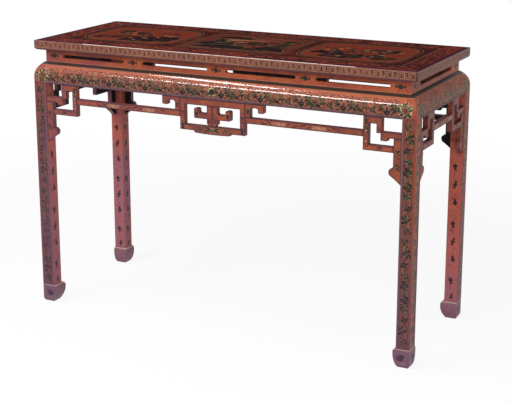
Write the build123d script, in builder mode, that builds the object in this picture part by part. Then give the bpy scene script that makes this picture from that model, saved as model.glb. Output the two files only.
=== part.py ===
"""Chinese altar table: pierced waist, round-shouldered aprons, hoof feet and key-fret spandrels.

The origin is on the floor under the middle of the table. +X runs along the length to the
right, -Y faces the front and +Z is up. Sizes are in millimetres. The pieces of the front-left
corner are modelled in place, and the other three corners are their mirror images.
"""

import os

from build123d import *

# The table as a whole
table_height = 860.0
top_length = 1260.0
top_depth = 470.0
leg_proud = 3.0  # the legs' outer faces stand this far outside the edge of the top

# Fits
joint_gap = 0.1  # glued joints
swell_gap = 0.5  # room for the panel and the tongues to move
root_lap = 1.0  # how far a tenon's root, or the mouth of a cut, runs past the face it leaves

# Framed top
top_thickness = 31.0
rail_width = 72.0
arris_radius = 2.5
under_edge_radius = 9.0
panel_thickness = 12.0
panel_tongue_thickness = 5.4
panel_tongue_depth = 8.0
panel_tongue_cover = 4.5  # wood above the panel's groove
mitre_tenon_thickness = 9.0
mitre_tenon_start = 18.0  # from the outer edge of the long rail
mitre_tenon_width = 28.0
mitre_tenon_cover = 12.0  # wood left outside the blind end of the tenon

# Battens under the panel
batten_width = 34.0
batten_height = 15.0
batten_spacing = 372.0
dovetail_height = 4.0
dovetail_root = 20.0
dovetail_flare = 2.0
batten_tenon_width = 18.0
batten_tenon_thickness = 9.0
batten_tenon_depth = 14.0

# Waist
waist_height = 38.0
waist_thickness = 13.5
waist_ledge = 1.0  # level strip between the shoulder and the waist
slot_height = 11.0
front_slots = 4
front_slot_spacing = 61.5
end_slot_margin = 72.0
waist_tongue_thickness = 6.0
waist_tongue_depth = 4.5
waist_tongue_stop = 52.0  # the tongues end this far from the corner of the legs

# Aprons
apron_height = 65.0
apron_thickness = 20.0
shoulder_rise = 46.0
shoulder_depth = 27.5
apron_back_height = 24.0
apron_back_slope = 20.0

# Half-round bead along the aprons' lower edges and down the inner edges of the legs
bead_width = 5.0
bead_rise = 1.2
bead_root = 0.5  # how far the bead's own stock runs into a leg

# Legs
leg_width = 42.0
shoulder_tip = 6.0  # width of the leg's shoulder where it meets the waist
head_width = 66.0  # outer corner of the leg to the inner face of its head
leg_tenon_size = 8.0
leg_tenon_long = 18.0
leg_tenon_short = 10.0
leg_tenon_edge = 2.0  # shoulder left round the tenons
key_root = 10.0
key_flare = 1.5
key_depth = 7.0
key_inset = 12.0  # leg's inner face to the middle of the dovetail key
key_height = 21.0

# Hoof feet
foot_height = 58.0
hoof_flare = 9.5
hoof_widest = 43.0
hoof_brow = 3.5  # bulge of the arc over the hoof's widest point
hoof_cheek = 2.3  # bulge of the arc under it
ankle_flare = 1.0
sole_height = 9.0
sole_inset = 4.5
heel_height = 18.0
heel_bulge = 2.0

# Key-fret corner brackets
bar_width = 17.0
fret_depth = 16.0
fret_recess = 2.0
fret_reach = 115.0
fret_drop = 97.5
top_bar_height = 20.0
inner_bar_reach = 75.5
middle_bar_reach = 63.0
middle_bar_drop = 40.5
bar_lap = 5.0
hook_length = 22.0
hook_drop = 9.0
hook_radius = 4.0
hook_inner_radius = 2.0
fret_tenon_depth = 7.0
fret_tenon_height = 10.0
fret_tenon_thickness = 7.0

# Boards beside the legs
board_width = 24.0
board_drop = 188.0
lobe_rise = 47.0
lobe_reach = 13.0
lobe_brow_drop = 12.5  # from the top of the lobe to its tip
lobe_brow = 4.4  # bulge of the arc over the tip
lobe_neck_drop = 25.0  # from the top of the lobe to the notch under its tip
lobe_neck_reach = 4.0
lobe_chin = 2.4  # bulge of the arc under the tip
lobe_tail = 0.5  # hollow of the tail below the notch
board_tongue_depth = 4.5

# Stretchers
stretcher_height = 18.0
stretcher_drop = 41.5

# Centre frets
centre_width = 217.0
cloud_width = 124.0
cloud_drop = 6.5
cloud_step = 8.0
cloud_bulge = 2.0
cloud_sag = 1.6
stem_width = 18.0
stem_taper = 8.0
scroll_reach = 61.0
scroll_rise = 31.0
scroll_foot = 21.0  # top of the bottom bar to the underside of the scroll's arm
scroll_radius = 5.0
crook_reach = 61.0
crook_drop = 26.5
crook_width = 19.0
crook_bar_height = 12.0
crook_arch_radius = 8.0
crook_radius = 5.0
crook_inner_radius = 2.5

# Loose tenons between the frets and the aprons
loose_tenon_width = 8.0
loose_tenon_thickness = 5.0
loose_tenon_depth = 10.0

# Levels
under_top = table_height - top_thickness
panel_under = table_height - panel_thickness
panel_groove_top = table_height - panel_tongue_cover
shoulder_top = under_top - waist_height
apron_bottom = shoulder_top - apron_height
shoulder_spring = shoulder_top - shoulder_rise
middle_bar_top = apron_bottom - middle_bar_drop
middle_bar_low = middle_bar_top - bar_width
middle_bar_axis = middle_bar_top - bar_width / 2
fret_low = apron_bottom - fret_drop
bottom_bar_top = fret_low + bar_width
bottom_bar_axis = fret_low + bar_width / 2
board_low = apron_bottom - board_drop
lobe_top = board_low + lobe_rise
stretcher_top = apron_bottom - stretcher_drop
stretcher_axis = stretcher_top - stretcher_height / 2

# Places in plan, measured inwards from the outer corner of a leg
leg_x = top_length / 2 + leg_proud
leg_y = top_depth / 2 + leg_proud
waist_inset = shoulder_depth + waist_ledge
waist_back = waist_inset + waist_thickness
mitre_top = shoulder_depth + shoulder_tip
post_face = waist_back + joint_gap
head_face = apron_thickness + joint_gap
tenon_near = post_face + leg_tenon_edge
tenon_far = head_width - leg_tenon_edge - leg_tenon_size
fret_axis = fret_recess + fret_depth / 2
bracket_end = leg_width + fret_reach
board_edge = leg_width + board_width

# Places from the middle of the table
frame_side = centre_width / 2
bracket_peg = leg_x - bracket_end + bar_width / 2
crook_peg = frame_side + bar_width / 2
frame_peg = frame_side - bar_width / 2
front_pegs = (-bracket_peg, -crook_peg, -frame_peg, frame_peg, crook_peg, bracket_peg)
end_peg = leg_y - bracket_end + bar_width / 2
end_pegs = (-end_peg, end_peg)
batten_places = (-batten_spacing, 0, batten_spacing)

corner_mitre = Plane((-leg_x, -leg_y, 0), x_dir=(0, 0, 1), z_dir=(-1, 1, 0))


def front_view(x, y):
    """A plane seen from the front: sketch x to the right, sketch y up, extruding inwards by -."""
    return Plane((x, y, 0), x_dir=(1, 0, 0), z_dir=(0, -1, 0))


def end_view(x, y):
    """A plane across the length: sketch x to the back, sketch y up, extruding to +X."""
    return Plane((x, y, 0), x_dir=(0, 1, 0), z_dir=(1, 0, 0))


def rectangle(low, high, mode=Mode.ADD):
    """A rectangle between two corners, in the sketch in hand."""
    with Locations(((low[0] + high[0]) / 2, (low[1] + high[1]) / 2)):
        Rectangle(high[0] - low[0], high[1] - low[1], mode=mode)


def block(low, high, mode=Mode.ADD):
    """A box between two corners, in the part in hand."""
    with Locations(tuple((low[i] + high[i]) / 2 for i in range(3))):
        Box(*(high[i] - low[i] for i in range(3)), mode=mode)


def corner_block(low, high, mode=Mode.ADD):
    """A box measured inwards from the outer corner of the front-left leg."""
    base = (-leg_x, -leg_y, 0)
    block(
        [low[i] + base[i] for i in range(3)],
        [high[i] + base[i] for i in range(3)],
        mode,
    )


def round_vertex(sketch, point, radius):
    """Rounds the corner of a sketch that is nearest to a point."""
    fillet(sketch.vertices().sort_by_distance((point[0], point[1], 0))[:1], radius)


def loose_tenon(x, front, growth, mode=Mode.ADD):
    """A loose tenon between a fret and its apron, or its mortise where growth is a gap."""
    half_width = loose_tenon_width / 2 + growth
    half_thickness = loose_tenon_thickness / 2 + growth
    half_height = loose_tenon_depth + growth
    middle = front + fret_axis
    block(
        (x - half_width, middle - half_thickness, apron_bottom - half_height),
        (x + half_width, middle + half_thickness, apron_bottom + half_height),
        mode,
    )


def bar_tenon(low_x, high_x, level, front, growth, mode=Mode.ADD):
    """A tenon on the end of a fret bar that runs along the front, or its mortise."""
    half_thickness = fret_tenon_thickness / 2 + growth
    half_height = fret_tenon_height / 2 + growth
    middle = front + fret_axis
    block(
        (low_x - growth, middle - half_thickness, level - half_height),
        (high_x + growth, middle + half_thickness, level + half_height),
        mode,
    )


def to_end(part):
    """Turns a piece made along the front onto the left end of the table."""
    return part.rotate(Axis.Z, -90)


def save(part, name):
    part.label = name
    export_step(part, f"parts/{name}.step")


def save_sides(part, name, words, plane):
    """Writes a piece and its mirror image on the other side of the table."""
    save(part, name.format(words[0]))
    save(part.mirror(plane), name.format(words[1]))


def save_corners(part, name):
    """Writes a front-left piece and its mirror images at the other three corners."""
    for side, facing in (("front", part), ("back", part.mirror(Plane.XZ))):
        save(facing, name.format(side, "left"))
        save(facing.mirror(Plane.YZ), name.format(side, "right"))


def save_brackets(part, name):
    """Writes a corner piece for the front and the back, and turned, for both ends."""
    save_corners(part, name)
    turned = part.mirror(corner_mitre)
    for end, facing in (("left", turned), ("right", turned.mirror(Plane.YZ))):
        save(facing, name.format(end, "front"))
        save(facing.mirror(Plane.XZ), name.format(end, "back"))


os.makedirs("parts", exist_ok=True)


# Legs


def leg_elevation():
    """Outline of a leg from either outer side: hoof, shaft and mitred shoulder."""
    hoof_tip = (leg_width + hoof_flare, hoof_widest)
    ankle = (leg_width + ankle_flare, sole_height)
    with BuildSketch() as outline:
        with BuildLine():
            Line((0, heel_height), (0, shoulder_spring))
            TangentArc((0, shoulder_spring), (shoulder_depth, shoulder_top), tangent=(0, 1))
            Polyline(
                (shoulder_depth, shoulder_top),
                (mitre_top, shoulder_top),
                (leg_width, apron_bottom),
                (leg_width, foot_height),
            )
            SagittaArc((leg_width, foot_height), hoof_tip, hoof_brow)
            SagittaArc(hoof_tip, ankle, hoof_cheek)
            Polyline(ankle, (leg_width - sole_inset, 0), (sole_inset, 0))
            SagittaArc((sole_inset, 0), (0, heel_height), heel_bulge)
        make_face()
    return outline.sketch


def key_plan(growth, direction=1):
    """Plan of the dovetail key on a leg's head, from the leg's corner along the front."""
    middle = leg_width + key_inset
    root = key_root / 2 + growth
    tip = root + key_flare
    back = head_face + growth
    front = back - key_depth - 2 * growth
    outline = (
        (middle - root, back),
        (middle - tip, front),
        (middle + tip, front),
        (middle + root, back),
    )
    Polygon(*((direction * x, y) for x, y in outline), align=None)


leg_outline = leg_elevation()

with BuildPart() as bead:
    bead_axis = leg_width - bead_width / 2
    bead_level = apron_bottom + bead_width / 2
    with BuildLine(front_view(-leg_x, -leg_y)) as bead_path:
        Polyline(
            (bead_axis, foot_height),
            (bead_axis, bead_level),
            (leg_width + root_lap, bead_level),
        )
    with BuildSketch(Plane((-leg_x, -leg_y, foot_height))):
        with BuildLine():
            Polyline(
                (leg_width, 0),
                (leg_width, bead_root),
                (leg_width - bead_width, bead_root),
                (leg_width - bead_width, 0),
            )
            SagittaArc((leg_width - bead_width, 0), (leg_width, 0), -bead_rise)
        make_face()
    sweep(path=bead_path.wire(), transition=Transition.RIGHT)
    with BuildSketch(front_view(-leg_x, -leg_y - bead_rise)):
        add(leg_outline)
    extrude(amount=-bead_rise - bead_root, mode=Mode.INTERSECT)

with BuildPart() as key:
    with BuildSketch(Plane((-leg_x, -leg_y, apron_bottom))):
        key_plan(0)
    extrude(amount=key_height)

with BuildPart() as leg:
    with BuildSketch(front_view(-leg_x, -leg_y)):
        add(leg_outline)
    extrude(amount=-leg_width - hoof_flare)
    with BuildSketch(end_view(-leg_x, -leg_y)):
        add(leg_outline)
    extrude(amount=leg_width + hoof_flare, mode=Mode.INTERSECT)
    # The head stands behind the aprons, and its post behind the waist.
    head_top = apron_bottom + apron_back_height - joint_gap
    corner_block((head_face, head_face, apron_bottom), (head_width, head_width, head_top))
    corner_block((post_face, post_face, apron_bottom), (head_width, head_width, under_top))
    for fitting in (key.part, bead.part):
        add(fitting)
        add(fitting.mirror(corner_mitre))
    # A long tenon goes up into the long rail and a short one into the end rail.
    near, far = tenon_near, tenon_far
    corner_block(
        (far, near, under_top),
        (far + leg_tenon_size, near + leg_tenon_size, under_top + leg_tenon_long),
    )
    corner_block(
        (near, far, under_top),
        (near + leg_tenon_size, far + leg_tenon_size, under_top + leg_tenon_short),
    )
    # Each inner face has a groove for the board's tongue and a mortise for the bracket.
    groove_half = fret_tenon_thickness / 2 + joint_gap
    mortise_half = fret_tenon_height / 2 + joint_gap
    for depth, low, high in (
        (board_tongue_depth, board_low + lobe_rise / 2, middle_bar_low),
        (fret_tenon_depth, middle_bar_axis - mortise_half, middle_bar_axis + mortise_half),
    ):
        near_side, far_side = fret_axis - groove_half, fret_axis + groove_half
        floor, mouth = leg_width - depth - joint_gap, leg_width + root_lap
        corner_block((floor, near_side, low), (mouth, far_side, high), Mode.SUBTRACT)
        corner_block((near_side, floor, low), (far_side, mouth, high), Mode.SUBTRACT)
save_corners(leg.part, "leg_{}_{}")


# Aprons and waist


def apron_section():
    """Section of an apron: distance behind the legs' outer face, and height."""
    with BuildSketch() as outline:
        with BuildLine():
            Line((0, shoulder_spring), (0, apron_bottom + bead_width))
            SagittaArc((0, apron_bottom + bead_width), (0, apron_bottom), -bead_rise)
            Polyline(
                (0, apron_bottom),
                (apron_thickness, apron_bottom),
                (apron_thickness, apron_bottom + apron_back_height),
                (waist_back, apron_bottom + apron_back_height + apron_back_slope),
                (waist_back, shoulder_top),
                (shoulder_depth, shoulder_top),
            )
            TangentArc((0, shoulder_spring), (shoulder_depth, shoulder_top), tangent=(0, 1))
        make_face()
    return outline.sketch


def rail_section():
    """Section of the top's frame: distance behind its edge, and height."""
    with BuildSketch() as outline:
        rectangle((0, under_top), (rail_width, table_height))
        round_vertex(outline, (0, under_top), under_edge_radius)
        round_vertex(outline, (0, table_height), arris_radius)
        groove_depth = panel_tongue_depth + swell_gap
        rectangle(
            (rail_width - groove_depth, panel_groove_top - panel_tongue_thickness - 2 * joint_gap),
            (rail_width, panel_groove_top),
            Mode.SUBTRACT,
        )
    return outline.sketch


def waist_section():
    """Section of a waist board, without the tongues along its head and foot."""
    with BuildSketch() as outline:
        rectangle((waist_inset, shoulder_top), (waist_back, under_top))
    return outline.sketch


def mitred(section, half_length, half_depth, depth, proud=0):
    """A piece of a given section along the front, cut to the mitres at both corners."""
    out = half_length - joint_gap + proud
    with BuildPart() as piece:
        with BuildSketch(end_view(-half_length, -half_depth)):
            add(section)
        extrude(amount=2 * half_length)
        with BuildSketch(Plane((0, -half_depth, 0))):
            back = out - proud - depth
            Polygon((-out, -proud), (out, -proud), (back, depth), (-back, depth), align=None)
        extrude(amount=table_height, mode=Mode.INTERSECT)
    return piece.part


def waist_tongue(half_length, half_depth, low, high, growth, mode=Mode.ADD):
    """A tongue along a waist board, or its groove, between two levels."""
    middle = (waist_inset + waist_back) / 2 - half_depth
    half = waist_tongue_thickness / 2 + growth
    out = half_length - waist_tongue_stop + growth
    block((-out, middle - half, low), (out, middle + half, high), mode)


def apron(half_length, half_depth, pegs):
    """An apron along the front, mitred to its legs and hung on their dovetail keys."""
    low = half_length - leg_width - joint_gap
    high = half_length - mitre_top - joint_gap
    with BuildPart() as piece:
        add(mitred(apron_section(), half_length, half_depth, waist_back, bead_rise))
        with BuildSketch(front_view(0, -half_depth - bead_rise)):
            Polygon(
                (-low, apron_bottom),
                (low, apron_bottom),
                (high, shoulder_top),
                (-high, shoulder_top),
                align=None,
            )
        extrude(amount=-waist_back - bead_rise, mode=Mode.INTERSECT)
        for side in (-1, 1):
            with BuildSketch(Plane((side * half_length, -half_depth, apron_bottom))):
                key_plan(joint_gap, -side)
            extrude(amount=key_height + joint_gap, mode=Mode.SUBTRACT)
        groove_floor = shoulder_top - waist_tongue_depth - swell_gap
        waist_tongue(
            half_length, half_depth, groove_floor, shoulder_top, joint_gap, Mode.SUBTRACT
        )
        for x in pegs:
            loose_tenon(x, -half_depth, joint_gap, Mode.SUBTRACT)
    return piece.part


def waist(half_length, half_depth, slots, margin, spacing):
    """A waist board along the front with a row of round-ended slots sawn through it."""
    waist_end = half_length - waist_inset
    slot_length = (2 * (waist_end - margin) - (slots - 1) * spacing) / slots
    with BuildPart() as piece:
        add(mitred(waist_section(), half_length, half_depth, waist_back))
        foot = shoulder_top - waist_tongue_depth
        head = under_top + waist_tongue_depth
        waist_tongue(half_length, half_depth, foot, head, 0)
        with BuildSketch(front_view(0, -half_depth)):
            with Locations((0, (shoulder_top + under_top) / 2)):
                with GridLocations(slot_length + spacing, 1, slots, 1):
                    SlotOverall(slot_length, slot_height)
        extrude(amount=-waist_back, mode=Mode.SUBTRACT)
    return piece.part


front_apron = apron(leg_x, leg_y, front_pegs)
save_sides(front_apron, "apron_{}", ("front", "back"), Plane.XZ)
end_apron = to_end(apron(leg_y, leg_x, end_pegs))
save_sides(end_apron, "apron_{}", ("left", "right"), Plane.YZ)

front_waist = waist(leg_x, leg_y, front_slots, front_slot_spacing, front_slot_spacing)
save_sides(front_waist, "waist_{}", ("front", "back"), Plane.XZ)
end_waist = to_end(waist(leg_y, leg_x, 1, end_slot_margin, 0))
save_sides(end_waist, "waist_{}", ("left", "right"), Plane.YZ)


# Framed top


def top_rail(half_length, half_depth, leg_along, leg_across):
    """A member of the top's frame along the front, before its corner joints are cut."""
    with BuildPart() as piece:
        add(mitred(rail_section(), half_length, half_depth, rail_width))
        groove_top = under_top + waist_tongue_depth + swell_gap
        waist_tongue(leg_along, leg_across, under_top, groove_top, joint_gap, Mode.SUBTRACT)
    return piece.part


def mitre_tenon(side, growth, mode=Mode.ADD):
    """The tenon through the mitre at one end of the front rail, or its mortise."""
    tip = top_length / 2 - mitre_tenon_cover + growth
    root = tip - mitre_tenon_start - mitre_tenon_width
    front = mitre_tenon_start - top_depth / 2 - growth
    back = front + mitre_tenon_width + 2 * growth
    axis = (under_top + panel_groove_top - panel_tongue_thickness) / 2
    half = mitre_tenon_thickness / 2 + growth
    block(
        (min(side * root, side * tip), front, axis - half),
        (max(side * root, side * tip), back, axis + half),
        mode,
    )


def leg_mortise(side, along, across, height):
    """The mortise for a leg's tenon in the front rail or, turned, in an end rail."""
    near = side * (along + leg_tenon_size / 2)
    half = leg_tenon_size / 2 + joint_gap
    middle = across + leg_tenon_size / 2
    block(
        (near - half, middle - half, under_top),
        (near + half, middle + half, under_top + height + joint_gap),
        Mode.SUBTRACT,
    )


batten_half_length = top_depth / 2 - rail_width
batten_low = panel_under - batten_height
batten_axis = panel_under - batten_height / 2

with BuildPart() as long_rail:
    add(top_rail(top_length / 2, top_depth / 2, leg_x, leg_y))
    for side in (-1, 1):
        mitre_tenon(side, 0)
        leg_mortise(
            side, leg_x - tenon_far - leg_tenon_size, tenon_near - leg_y, leg_tenon_long
        )
    for x in batten_places:
        half_mortise = batten_tenon_width / 2 + joint_gap
        half_thickness = batten_tenon_thickness / 2 + joint_gap
        mortise_floor = batten_half_length + batten_tenon_depth + joint_gap
        block(
            (x - half_mortise, -mortise_floor, batten_axis - half_thickness),
            (x + half_mortise, -batten_half_length, batten_axis + half_thickness),
            Mode.SUBTRACT,
        )
save_sides(long_rail.part, "top_rail_{}", ("front", "back"), Plane.XZ)

end_rail_blank = top_rail(top_depth / 2, top_length / 2, leg_y, leg_x)
with BuildPart() as end_rail_mortised:
    add(end_rail_blank)
    for side in (-1, 1):
        leg_mortise(
            side, leg_y - tenon_far - leg_tenon_size, tenon_near - leg_x, leg_tenon_short
        )

with BuildPart() as tenon_pair:
    mitre_tenon(-1, joint_gap)
    add(tenon_pair.part.mirror(Plane.XZ))

with BuildPart() as end_rail:
    add(to_end(end_rail_mortised.part))
    add(tenon_pair.part, mode=Mode.SUBTRACT)
save_sides(end_rail.part, "top_rail_{}", ("left", "right"), Plane.YZ)


def dovetail_section(growth):
    """Section of the dovetail on a batten, from the underside of the panel upwards."""
    root = dovetail_root / 2 + growth
    tip = root + dovetail_flare
    Polygon(
        (-root, panel_under),
        (root, panel_under),
        (tip, panel_under + dovetail_height + growth),
        (-tip, panel_under + dovetail_height + growth),
        align=None,
    )


panel_x = top_length / 2 - rail_width - joint_gap
panel_y = top_depth / 2 - rail_width - joint_gap
with BuildPart() as panel:
    block((-panel_x, -panel_y, panel_under), (panel_x, panel_y, table_height))
    tongue_x, tongue_y = panel_x + panel_tongue_depth, panel_y + panel_tongue_depth
    tongue_top = panel_groove_top - joint_gap
    tongue_low = tongue_top - panel_tongue_thickness
    block((-tongue_x, -tongue_y, tongue_low), (tongue_x, tongue_y, tongue_top))
    for x in batten_places:
        with BuildSketch(front_view(x, -tongue_y)):
            dovetail_section(joint_gap)
        extrude(amount=-2 * tongue_y, mode=Mode.SUBTRACT)
save(panel.part, "top_panel")

for x, place in zip(batten_places, ("left", "middle", "right")):
    with BuildPart() as batten:
        half_length = batten_half_length - joint_gap
        block(
            (x - batten_width / 2, -half_length, batten_low),
            (x + batten_width / 2, half_length, panel_under),
        )
        with BuildSketch(front_view(x, -half_length)):
            dovetail_section(0)
        extrude(amount=-2 * half_length)
        tenon_end = batten_half_length + batten_tenon_depth
        block(
            (
                x - batten_tenon_width / 2,
                -tenon_end,
                batten_axis - batten_tenon_thickness / 2,
            ),
            (
                x + batten_tenon_width / 2,
                tenon_end,
                batten_axis + batten_tenon_thickness / 2,
            ),
        )
    save(batten.part, f"top_batten_{place}")


# Key-fret corner brackets and the boards beside the legs

fret_plane = front_view(-leg_x, -leg_y + fret_recess)

with BuildPart() as bracket:
    with BuildSketch(fret_plane) as outline:
        inner_bar_end = leg_width + inner_bar_reach
        inner_bar_start = inner_bar_end - bar_width
        hook_end = leg_width + middle_bar_reach
        hook_start = hook_end - hook_length
        hook_low = middle_bar_low - hook_drop
        rectangle((bracket_end - bar_width, fret_low), (bracket_end, apron_bottom))
        rectangle((board_edge, fret_low), (bracket_end, bottom_bar_top))
        rectangle((inner_bar_start, apron_bottom - top_bar_height), (bracket_end, apron_bottom))
        rectangle((inner_bar_start, middle_bar_top - bar_lap), (inner_bar_end, apron_bottom))
        rectangle((leg_width, middle_bar_low), (hook_end, middle_bar_top))
        rectangle((hook_start, hook_low), (hook_end, middle_bar_low + bar_lap))
        round_vertex(outline, (hook_start, hook_low), hook_radius)
        round_vertex(outline, (hook_end, hook_low), hook_inner_radius)
        round_vertex(outline, (hook_start, middle_bar_low), hook_inner_radius)
    extrude(amount=-fret_depth)
    for seat, level in ((leg_width, middle_bar_axis), (board_edge, bottom_bar_axis)):
        tip = seat - fret_tenon_depth - leg_x
        bar_tenon(tip, seat + root_lap - leg_x, level, -leg_y, 0)
    bar_tenon(
        bracket_end - fret_tenon_depth - leg_x,
        bracket_end - leg_x,
        stretcher_axis,
        -leg_y,
        joint_gap,
        Mode.SUBTRACT,
    )
    loose_tenon(-bracket_peg, -leg_y, joint_gap, Mode.SUBTRACT)
save_brackets(bracket.part, "fret_{}_{}")

with BuildPart() as board:
    with BuildSketch(fret_plane):
        lobe_tip = (board_edge + lobe_reach, lobe_top - lobe_brow_drop)
        notch = (board_edge + lobe_neck_reach, lobe_top - lobe_neck_drop)
        with BuildLine():
            Polyline(
                (leg_width, board_low),
                (leg_width, middle_bar_low),
                (board_edge, middle_bar_low),
                (board_edge, lobe_top),
            )
            SagittaArc((board_edge, lobe_top), lobe_tip, lobe_brow)
            SagittaArc(lobe_tip, notch, lobe_chin)
            SagittaArc(notch, (leg_width, board_low), -lobe_tail)
        make_face()
    extrude(amount=-fret_depth)
    tongue_half = fret_tenon_thickness / 2
    corner_block(
        (
            leg_width - board_tongue_depth,
            fret_axis - tongue_half,
            board_low + lobe_rise / 2 + joint_gap,
        ),
        (leg_width + root_lap, fret_axis + tongue_half, middle_bar_low - joint_gap),
    )
    bar_tenon(
        board_edge - fret_tenon_depth - leg_x,
        board_edge - leg_x,
        bottom_bar_axis,
        -leg_y,
        joint_gap,
        Mode.SUBTRACT,
    )
save_brackets(board.part, "leg_board_{}_{}")


# Stretchers


def stretcher(low_x, high_x, half_depth):
    """A bar along the front with a tenon on each end."""
    front = fret_recess - half_depth
    with BuildPart() as bar:
        block(
            (low_x, front, stretcher_top - stretcher_height),
            (high_x, front + fret_depth, stretcher_top),
        )
        bar_tenon(
            low_x - fret_tenon_depth, high_x + fret_tenon_depth, stretcher_axis, -half_depth, 0
        )
    return bar.part


save_corners(stretcher(bracket_end - leg_x, -frame_side, leg_y), "stretcher_{}_{}")
end_stretcher = to_end(stretcher(bracket_end - leg_y, leg_y - bracket_end, leg_x))
save_sides(end_stretcher, "stretcher_{}", ("left", "right"), Plane.YZ)


# Centre frets: a frame under each long apron, with a pair of scrolls back to back inside it

centre_plane = front_view(0, -leg_y + fret_recess)
opening_top = apron_bottom - top_bar_height

with BuildPart() as centre_frame:
    with BuildSketch(centre_plane) as outline:
        rectangle((-frame_side, fret_low), (frame_side, apron_bottom))
        rectangle(
            (bar_width - frame_side, bottom_bar_top),
            (frame_side - bar_width, opening_top),
            Mode.SUBTRACT,
        )
        cloud_low = fret_low - cloud_drop
        half_cloud = cloud_width / 2
        flat_cloud = half_cloud - cloud_step
        with BuildLine():
            Polyline(
                (-half_cloud, fret_low),
                (-half_cloud, fret_low + root_lap),
                (half_cloud, fret_low + root_lap),
                (half_cloud, fret_low),
            )
            SagittaArc((half_cloud, fret_low), (flat_cloud, cloud_low), cloud_bulge)
            SagittaArc((flat_cloud, cloud_low), (-flat_cloud, cloud_low), cloud_sag)
            SagittaArc((-flat_cloud, cloud_low), (-half_cloud, fret_low), cloud_bulge)
        make_face()
    extrude(amount=-fret_depth)
    for low_x, high_x in (
        (-frame_side, fret_tenon_depth - frame_side),
        (frame_side - fret_tenon_depth, frame_side),
    ):
        bar_tenon(low_x, high_x, stretcher_axis, -leg_y, joint_gap, Mode.SUBTRACT)
    stem_half = fret_tenon_thickness / 2 + joint_gap
    stem_tenon_side = stem_width - stem_taper
    block(
        (
            -stem_tenon_side - joint_gap,
            fret_axis - leg_y - stem_half,
            bottom_bar_top - fret_tenon_depth - joint_gap,
        ),
        (
            stem_tenon_side + joint_gap,
            fret_axis - leg_y + stem_half,
            opening_top + fret_tenon_depth + joint_gap,
        ),
        Mode.SUBTRACT,
    )
    for x in (-frame_peg, frame_peg):
        loose_tenon(x, -leg_y, joint_gap, Mode.SUBTRACT)
save_sides(centre_frame.part, "centre_frame_{}", ("front", "back"), Plane.XZ)

with BuildPart() as scroll:
    with BuildSketch(centre_plane) as outline:
        arm_low = bottom_bar_top + scroll_foot
        arm_top = arm_low + bar_width
        tip_top = arm_low + scroll_rise
        tip_side = scroll_reach - bar_width
        rectangle((-stem_width, bottom_bar_top), (0, opening_top))
        rectangle((-scroll_reach, arm_low), (0, arm_top))
        rectangle((-scroll_reach, arm_low), (-tip_side, tip_top))
        foot = outline.vertices().sort_by_distance((-stem_width, bottom_bar_top, 0))[:1]
        chamfer(foot, stem_taper)
        round_vertex(outline, (-scroll_reach, arm_low), scroll_radius)
        round_vertex(outline, (-scroll_reach, tip_top), scroll_radius)
        round_vertex(outline, (-tip_side, tip_top), scroll_radius)
        round_vertex(outline, (-tip_side, arm_top), scroll_radius)
        round_vertex(outline, (-stem_width, arm_top), scroll_radius)
    extrude(amount=-fret_depth)
    block(
        (
            -stem_tenon_side,
            fret_axis - leg_y - fret_tenon_thickness / 2,
            bottom_bar_top - fret_tenon_depth,
        ),
        (
            0,
            fret_axis - leg_y + fret_tenon_thickness / 2,
            opening_top + fret_tenon_depth,
        ),
    )
save_corners(scroll.part, "centre_scroll_{}_{}")

with BuildPart() as crook:
    with BuildSketch(centre_plane) as outline:
        post_side = frame_side + bar_width
        crook_end = frame_side + crook_reach
        drop_side = crook_end - crook_width
        drop_low = apron_bottom - crook_drop
        bar_low = apron_bottom - crook_bar_height
        rectangle((-post_side, stretcher_top), (-frame_side, apron_bottom))
        rectangle((-crook_end, bar_low), (-frame_side, apron_bottom))
        rectangle((-crook_end, drop_low), (-drop_side, apron_bottom))
        round_vertex(outline, (-crook_end, drop_low), crook_radius)
        round_vertex(outline, (-drop_side, drop_low), crook_inner_radius)
        round_vertex(outline, (-drop_side, bar_low), crook_arch_radius)
        round_vertex(outline, (-post_side, bar_low), crook_arch_radius)
    extrude(amount=-fret_depth)
    loose_tenon(-crook_peg, -leg_y, joint_gap, Mode.SUBTRACT)
save_corners(crook.part, "crook_{}_{}")

with BuildPart() as end_tenons:
    for x in end_pegs:
        loose_tenon(x, -leg_x, 0)

with BuildPart() as loose_tenons:
    for x in front_pegs:
        loose_tenon(x, -leg_y, 0)
    add(loose_tenons.part.mirror(Plane.XZ))
    left_end = to_end(end_tenons.part)
    add(left_end)
    add(left_end.mirror(Plane.YZ))
save(loose_tenons.part, "loose_tenons")
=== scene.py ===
import math
import random

import bmesh
import bpy
from mathutils import Matrix, Vector


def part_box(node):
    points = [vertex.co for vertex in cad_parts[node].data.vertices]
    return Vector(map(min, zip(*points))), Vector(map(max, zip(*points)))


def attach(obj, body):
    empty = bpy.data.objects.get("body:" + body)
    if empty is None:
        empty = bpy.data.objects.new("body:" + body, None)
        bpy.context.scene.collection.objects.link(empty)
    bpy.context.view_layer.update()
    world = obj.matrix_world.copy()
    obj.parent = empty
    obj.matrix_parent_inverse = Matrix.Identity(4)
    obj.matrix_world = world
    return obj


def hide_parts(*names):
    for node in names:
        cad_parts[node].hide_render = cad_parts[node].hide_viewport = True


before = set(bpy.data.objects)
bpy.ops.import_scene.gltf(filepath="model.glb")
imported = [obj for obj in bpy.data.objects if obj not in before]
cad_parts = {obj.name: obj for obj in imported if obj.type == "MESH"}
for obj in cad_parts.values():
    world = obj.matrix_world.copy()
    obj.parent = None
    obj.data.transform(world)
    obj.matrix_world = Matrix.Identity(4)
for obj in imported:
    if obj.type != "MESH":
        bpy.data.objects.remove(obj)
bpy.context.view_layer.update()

# A painted lacquer altar table. Metres, +Z up, the front looks towards -Y.
mm = 0.001
sides = {"front": 0.0, "right": 90.0, "back": 180.0, "left": 270.0}
print("frame loaded:", len(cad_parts), "nodes")


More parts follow.
